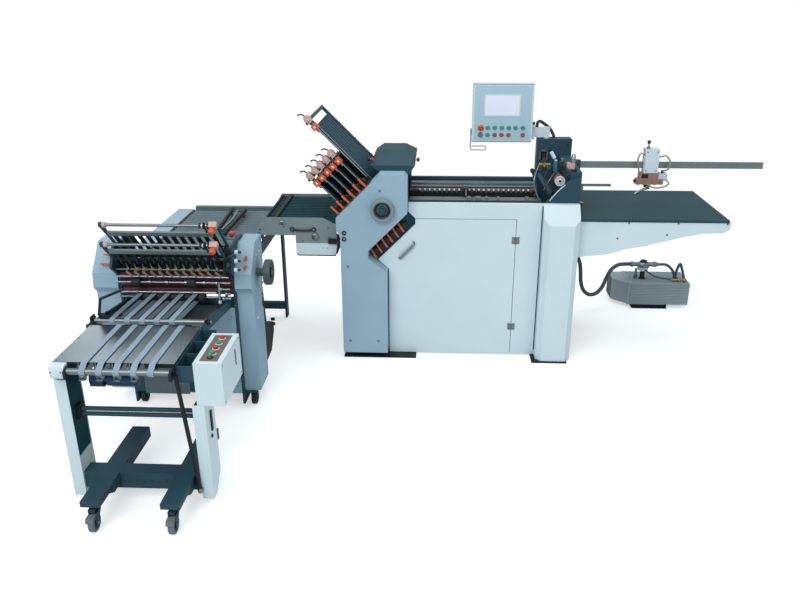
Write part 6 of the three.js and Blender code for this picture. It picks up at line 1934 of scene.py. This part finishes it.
    def handwheel(self) -> None:
        """Dished handwheel on the roller's shaft, with its bright hub."""
        low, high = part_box("cross_handwheel")
        centre = (low + high) / 2 - ORIGIN
        y, z = centre.y / MILLIMETRE, centre.z / MILLIMETRE
        back = (low - ORIGIN).x / MILLIMETRE
        near, far = (back, y, z), (back + 1, y, z)
        form = Form("cross_handwheel_dished", "cross_fold_drive")
        rim = [(0, 13), (0, 60), (3, 63), (29, 63), (33, 60), (34, 55), (32, 50), (14, 36), (11, 27),
               (14, 26), (14, 13)]
        form.turned(near, far, rim, WHEEL_PAINT, 44, ring=True)
        hub = [(10, 12.6), (10, 26), (33, 26), (33.8, 24), (33.8, 12.6)]
        form.turned(near, far, hub, BLACK_PLASTIC, 30, ring=True)
        form.rod((back - 60, y, z), (back - 0.4, y, z), 20, WHEEL_PAINT, 28)
        form.done("cross_handwheel", slot="steel")

    def wheels(self) -> None:
        """Grey rubber transport wheels with pale hubs."""
        for side in ("left", "right"):
            low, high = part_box(f"cross_wheel_{side}")
            build_wheel(f"cross_wheel_{side}", (low + high) / 2, 36.0, 25.0, 6.3, BLACK_RUBBER)

    def build(self) -> None:
        """Builds the right-angle unit."""
        self.paint()
        self.register()
        self.buckle_plates()
        self.fold_shafts()
        self.outfeed()
        self.knobs()
        self.cover_details()
        self.handwheel()
        self.wheels()


def belt_loop(first: tuple[float, float, float], second: tuple[float, float, float],
              turns: int = 8) -> Outline:
    """Gives the closed path of a belt round two rollers, as Y and Z.

    Args:
        first: Y, Z and running radius of the roller that the path starts from.
        second: the same of the other roller.
        turns: points round each roller.

    Returns:
        Points in order round the loop.
    """
    (ya, za, ra), (yb, zb, rb) = first, second
    lean = math.atan2(zb - za, yb - ya)
    points = []
    for centre_y, centre_z, radius, start in ((ya, za, ra, lean + math.pi / 2),
                                              (yb, zb, rb, lean - math.pi / 2)):
        for i in range(turns + 1):
            angle = start + math.pi * i / turns
            points.append((centre_y + radius * math.cos(angle), centre_z + radius * math.sin(angle)))
    return points


def build_wheel(node: str, centre: Vector, radius: float, width: float, bore: float, tread: Finish) -> None:
    """Builds a tyred wheel round the X axis in place of its plain solid.

    Args:
        node: the solid that it stands for.
        centre: its middle, in the frame's metres.
        radius: its radius.
        width: its width.
        bore: radius of its bore.
        tread: finish of the tyre.
    """
    x, y, z = (centre - ORIGIN) / MILLIMETRE
    near, far = (x - width / 2, y, z), (x, y, z)
    form = Form(f"{node}_tyred", node)
    hub = radius * 0.66
    tyre = [(0, hub), (0, radius - 4), (3, radius), (width - 3, radius), (width, radius - 4), (width, hub)]
    disc = [(1, bore), (1, bore + 5), (4, bore + 6), (4, hub - 4), (1.4, hub + 0.4), (width - 1.4, hub + 0.4),
            (width - 4, hub - 4), (width - 4, bore + 6), (width - 1, bore + 5), (width - 1, bore)]
    form.turned(near, far, tyre, tread, 36, ring=True)
    form.turned(near, far, disc, SLATE_PAINT, 36, ring=True)
    form.done(node, slot="rubber")


@dataclass
class Stacker:
    """Delivery stacker: base, columns, table with its belts, motor, control box, keys and casters."""

    belt_start: float = -1908.0
    belt_pitch: float = 66.5
    belts: int = 5
    belt_width: float = 24.0
    tray: tuple[float, float] = (-2036.0, -1562.0)
    box: tuple[float, float, float, float] = (-1495.0, -1384.0, -1450.0, -1170.0)
    # Front, rear, lower edge and upper edge of the apron under the table
    apron: tuple[float, float, float, float] = (-1450.0, -1100.0, 568.0, 640.3)
    key_column: float = -1439.5
    # Rows of the stop, start, green and red keys
    key_rows: tuple[float, ...] = (-1364.6, -1318.4, -1272.0, -1222.0)
    selector_row: float = -1399.0
    plate_split: float = -1341.5
    motor_place: Point = (-1960.0, -1330.0, 516.0)
    motor_fins: int = 10
    caster_columns: tuple[float, float] = (-1895.0, -1580.0)
    caster_pin: float = -1602.0
    caster_axle: tuple[float, float] = (-1629.0, 37.5)

    def paint(self) -> None:
        """Finishes the base, columns and box."""
        dress("stacker_base", SLATE_PAINT, 3.0)
        dress("stacker_column_left", WHITE_PAINT, 2.0)
        dress("stacker_column_right", WHITE_PAINT, 2.0)
        dress("stacker_control_box", WHITE_PAINT, 3.0)

    def table(self) -> None:
        """Table of brushed stainless sheet with side box, dark rail, arms and apron."""
        x0, x1 = self.tray
        front, rear, low, high = self.apron
        form = Form("delivery_table_set")
        form.block((x0, -1459, 640), (x1, -1116, 652), STAINLESS, 1.5)
        form.block((x0, -1460, 634), (x1, -1456, 650), SOOT_PAINT, 1)
        side_box = [(-1443, 590), (-1443, 650), (-1480, 650), (-1490, 646), (-1495, 637), (-1495, 604),
                    (-1491, 595), (-1482, 590)]
        form.prism(side_box, "x", x0 - 2, x0 + 57, WHITE_PAINT, 3)
        form.block((x0, front, low), (x0 + 32, -1330, high), SLATE_PAINT, 2)
        form.block((x0, front, 628), (x0 + 5, rear, high), SLATE_PAINT, 1)
        form.block((x1 - 0.3, front, low), (x1 + 3.5, rear, high), SLATE_PAINT, 1)
        form.block((-1499, front, low), (-1495.3, -1180, high), SLATE_PAINT, 1)
        form.block((x1, front, low), (-1495.3, rear, 572), SLATE_PAINT, 1)
        for y in (-1449, -1340, -1226, -1112):
            form.block((x1 + 2, y, 570), (-1497, y + 5, 636), SLATE_PAINT, 1)
        arm = [(-1508, 600), (-1412, 600), (-1412, 640.2), (-1492, 640.2), (-1508, 630)]
        for x in (x0 + 57, x1 - 10):
            form.prism(arm, "x", x, x + 10, SOOT_PAINT, 3)
        form.block((x1 - 180, -1330, 450), (x1, -1322, 640.2), GREY_PAINT, 2)
        form.rod((x0 + 20, -1109, 645), (x1 - 6, -1109, 645), 7.6, SOOT_PAINT, 18)
        for x in (x0 + 4, x1 - 14):
            for y in (-1448, -1400, -1250, -1130):
                form.screw((x + 4, y + 4, 652), UP, 3.4, TURNED_STEEL)
        for x in (x0 + 4, x0 + 44):
            form.screw((x, -1495, 624), FRONT, 3.4, TURNED_STEEL)
        form.done("delivery_table", slot="steel")

    def belts_and_guides(self) -> None:
        """Five belts over the table and round the front roller, with pressed V guides under four."""
        dress("delivery_roller", ROLLER_STEEL, 0.8)
        form = Form("delivery_belts")
        loop = [(-1118, 655.2), (-1440, 655.2), (-1470, 653.5), (-1488, 641.8), (-1497.5, 638),
                (-1502.6, 630.5), (-1502.6, 622.5), (-1497.5, 615), (-1488, 611.4), (-1470, 616),
                (-1440, 630), (-1120, 634.5), (-1104.6, 638), (-1100.6, 645), (-1104.6, 652)]
        for i in range(self.belts):
            x = self.belt_start + i * self.belt_pitch
            form.belt(x, loop, self.belt_width, 1.8, BELT_CANVAS)
        form.done(slot="polyurethane")
        guides = Form("belt_guides")
        for i in range(self.belts - 1):
            x = self.belt_start + i * self.belt_pitch
            for way in (-1, 1):
                route = [(x + way * 34, -1452, 644), (x + way * 26, -1468, 642), (x + way * 6, -1500, 607)]
                guides.sweep(route, rectangle(-1, -9, 1, 9), GREY_PAINT, up=(0, 0.4, 1))
            guides.block((x - 12, -1506, 596), (x + 12, -1484, 600), GREY_PAINT, 1)
            guides.block((x - 3, -1490, 596), (x + 3, -1440, 610), SOOT_PAINT, 1)
        guides.block((-1985, -1450, 604), (-1600, -1440, 616), SOOT_PAINT, 2)
        guides.done(slot="steel")

    def motor(self) -> None:
        """Blue gear motor with fins, cap and its mounting foot."""
        form = Form("delivery_motor_set")
        x, y, z = self.motor_place
        case = [(0, 22), (2, 30), (60, 30.5), (62, 27), (70, 27), (72, 31.5), (194, 31.5), (195, 26)]
        form.turned((x, y, z), (x + 1, y, z), case, BLUE_ENAMEL, 28)
        for i in range(self.motor_fins):
            at = x + 80 + i * 10.5
            form.turned((at, y, z), (at + 1, y, z), [(0, 30), (0, 32), (3, 32), (3, 30)], BLUE_ENAMEL, 28)
        form.block((x + 77, y - 20, z), (x + 118, y + 20, 639.6), SLATE_PAINT, 2)
        form.block((x + 2, y - 26, z - 26), (x + 58, y + 26, z + 26), BLUE_ENAMEL, 5)
        form.turned((x + 66, y - 30, z - 12), (x + 66, y - 31, z - 12), [(0, 7), (8, 8), (12, 6)],
                    BLACK_PLASTIC, 16)
        form.done("delivery_motor", slot="blue_paint")

    def control_box(self) -> None:
        """Taupe label plate, collars, the other keys, selector and side socket of the box."""
        x0, x1, y0, y1 = self.box
        x = self.key_column
        form = Form("control_box_fittings")
        stop_row, start_row, green_row, red_row = self.key_rows
        for near, far, key in ((y0 + 22, self.plate_split, stop_row), (self.plate_split, y1 - 20, start_row)):
            form.holed((x0 + 19, near, 649.6), (x1 - 21, far, 650.8), (x, key, 6.4), TAUPE_ANODISED)
        collar = [(0, 14.5), (1.4, 14.5), (2.2, 13.4), (2.2, 11.6), (0, 11.6)]
        for y in self.key_rows:
            form.turned((x, y, 650.6), (x, y, 652), collar, WHITE_PLASTIC, 24, ring=True)
        for y, finish in ((red_row, RED_PLASTIC), (green_row, GREEN_PLASTIC)):
            form.turned((x, y, 650), (x, y, 651), [(0, 11), (11, 10.8), (12.3, 9.8), (12.4, 0)], finish, 22)
        y = self.selector_row
        form.turned((x, y, 650), (x, y, 651), [(0, 14), (3, 14), (5, 11), (5, 0)], BLACK_PLASTIC, 22)
        form.block((x - 3.5, y - 10, 654), (x + 3.5, y + 10, 664), GREY_PAINT, 1.5)
        form.block((x1 - 0.5, -1256, 548), (x1 + 1.4, -1246, 616), BLACK_PLASTIC, 0.6)
        for y in (y0 + 14, y1 - 14):
            for z in (480, 636):
                form.screw((x1, y, z), RIGHT, 3.4, TURNED_STEEL)
        form.done(slot="white_paint")
        for name, finish in (("stop", RED_PLASTIC), ("start", GREEN_PLASTIC)):
            low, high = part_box(f"stacker_{name}_button")
            centre = ((low + high) / 2 - ORIGIN) / MILLIMETRE
            key = Form(f"{name}_key", f"stacker_{name}_button")
            key.turned((centre.x, centre.y, 649.8), (centre.x, centre.y, 651),
                       [(0, 5.8), (4.6, 5.8), (4.6, 10.6), (12.6, 10.8), (13.8, 9.8), (14, 0)], finish, 26)
            key.done(f"stacker_{name}_button", slot=f"{'red' if name == 'stop' else 'green'}_plastic")

    def lift(self) -> None:
        """Dark channels, tie tube sleeves, gas strut and crank between the columns."""
        form = Form("stacker_lift")
        form.block((-2049, -1446.8, 216), (-2007, -1333.2, 560), TEAL_PAINT, 2)
        form.block((-1513, -1446.8, 216), (-1471.2, -1333.2, 462), TEAL_PAINT, 2)
        form.rod((-1566, -1452, 598), (-1518, -1462, 84), 8.5, SOOT_PAINT, 18)
        form.rod((-1560, -1453, 560), (-1553, -1454.6, 476), 5, CHROME, 16)
        form.turned((-1518, -1462, 88), (-1516, -1462.4, 66), [(0, 9), (3, 12), (16, 12), (20, 8)],
                    TURNED_STEEL, 18)
        form.rod((-1516, -1462, 78), (-1516, -1438, 78), 7, SOOT_PAINT, 14)
        for z in (385, 409):
            form.rod((-2003, -1390, z), (-1516, -1390, z), 9.6, BENCH_PAINT, 18)
        form.block((-2006, -1408, 366), (-1990, -1372, 430), SOOT_PAINT, 3)
        form.block((-1532, -1408, 366), (-1514, -1372, 430), SOOT_PAINT, 3)
        form.rod((-1466, -1400, 300), (-1462, -1400, 300), 8, BLACK_PLASTIC, 16)
        form.block((-1468.2, -1396, 320), (-1462, -1380, 410), SOOT_PAINT, 2)
        for i in range(6):
            x, z = -1818 + i * 31, 96 + (i % 2) * 4
            form.rod((x, -1439.8, z), (x, -1437, z), 5.5, BLACK_PLASTIC, 14)
        gusset = [(-1439, 64), (-1439, 120), (-1400, 120), (-1400, 78), (-1416, 60)]
        for x in (-1856, -1541):
            form.prism(gusset, "x", x - 3, x + 3, SLATE_PAINT, 2)
        form.done(slot="black_paint")

    def casters(self) -> None:
        """Swivel casters: dark blue fork, pale brake pedal and tyred wheel."""
        y = self.caster_pin
        wheel_y, axle_z = self.caster_axle
        cheek = [(wheel_y - 12, 26), (wheel_y - 12, 48), (wheel_y - 4, 78), (wheel_y - 4, 96), (y + 12, 96),
                 (y + 12, 78), (wheel_y + 12, 44), (wheel_y + 12, 26), (wheel_y, 20)]
        pedal = [(wheel_y - 8, 80), (wheel_y - 36, 78), (wheel_y - 42, 60), (wheel_y - 40, 58),
                 (wheel_y - 33, 72), (wheel_y - 8, 76)]
        for side, x in zip(("left", "right"), self.caster_columns):
            form = Form(f"caster_fork_{side}_set", f"caster_fork_{side}")
            form.turned((x, y, 105.7), (x, y, 106), [(0, 20), (1, 24), (8, 24), (9, 22)], TURNED_STEEL, 28)
            form.turned((x, y, 96), (x, y, 97), [(0, 18), (2, 21), (10, 21)], SLATE_PAINT, 24)
            for way in (-1, 1):
                near, far = sorted((x + way * 12.6, x + way * 16.3))
                form.prism(cheek, "x", near, far, SLATE_PAINT, 1.2)
                form.screw((x + way * 16.3, wheel_y, axle_z), (way, 0, 0), 7, TURNED_STEEL)
            form.block((x - 16.3, wheel_y - 4, 84), (x + 16.3, y + 12, 97), SLATE_PAINT, 2)
            form.rod((x - 12.8, wheel_y, axle_z), (x + 12.8, wheel_y, axle_z), 5.7, TURNED_STEEL, 16)
            form.prism(pedal, "x", x - 15, x + 15, GREY_RUBBER, 1.2)
            form.done(f"caster_fork_{side}", slot="steel")
            low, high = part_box(f"caster_wheel_{side}")
            build_wheel(f"caster_wheel_{side}", (low + high) / 2, 37.5, 24.0, 6.3, GREY_RUBBER)

    def build(self) -> None:
        """Builds the stacker."""
        self.paint()
        self.table()
        self.belts_and_guides()
        self.motor()
        self.control_box()
        self.lift()
        self.casters()


PUMP_HOSE = [(203.6, 620, 470), (216.1, 620, 470), (262, 626, 455), (315, 636, 410), (345, 646, 350),
             (358, 655, 285), (366, 664, 220), (388, 676, 155), (430, 694, 114), (480, 716, 112),
             (522, 738, 148), (548, 754, 205), (578, 776, 255), (628, 808, 280), (680, 840, 276),
             (713.2, 860, 270), (725.7, 860, 270)]
CONTROL_CONDUIT = [(8, 557, 1219.6), (8, 557, 1228.3), (12, 565, 1243), (30, 588, 1247), (54, 603, 1232),
                   (88, 594, 1206), (112, 578, 1164.3), (112, 578, 1155.3)]


def main() -> None:
    """Builds the studio, the hoses and every sub-assembly, in order."""
    logging.basicConfig(level=logging.INFO, format="%(message)s")
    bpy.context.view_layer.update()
    Studio().build()
    FreeHose("pump_hose", PUMP_HOSE, 12.5, SLATE_HOSE, "hose_rubber").build()
    FreeHose("control_conduit", CONTROL_CONDUIT, 9.0, HOSE_RUBBER, "hose_rubber").build()
    for part in (MainCabinet(), FoldUnit(), RegisterBed(), ControlPanel(), FeederHead(), FeedTable(),
                 VacuumPump(), TransferConveyor(), CrossUnit(), Stacker()):
        log.info("building %s", type(part).__name__)
        part.build()


if __name__ == "__main__":
    main()
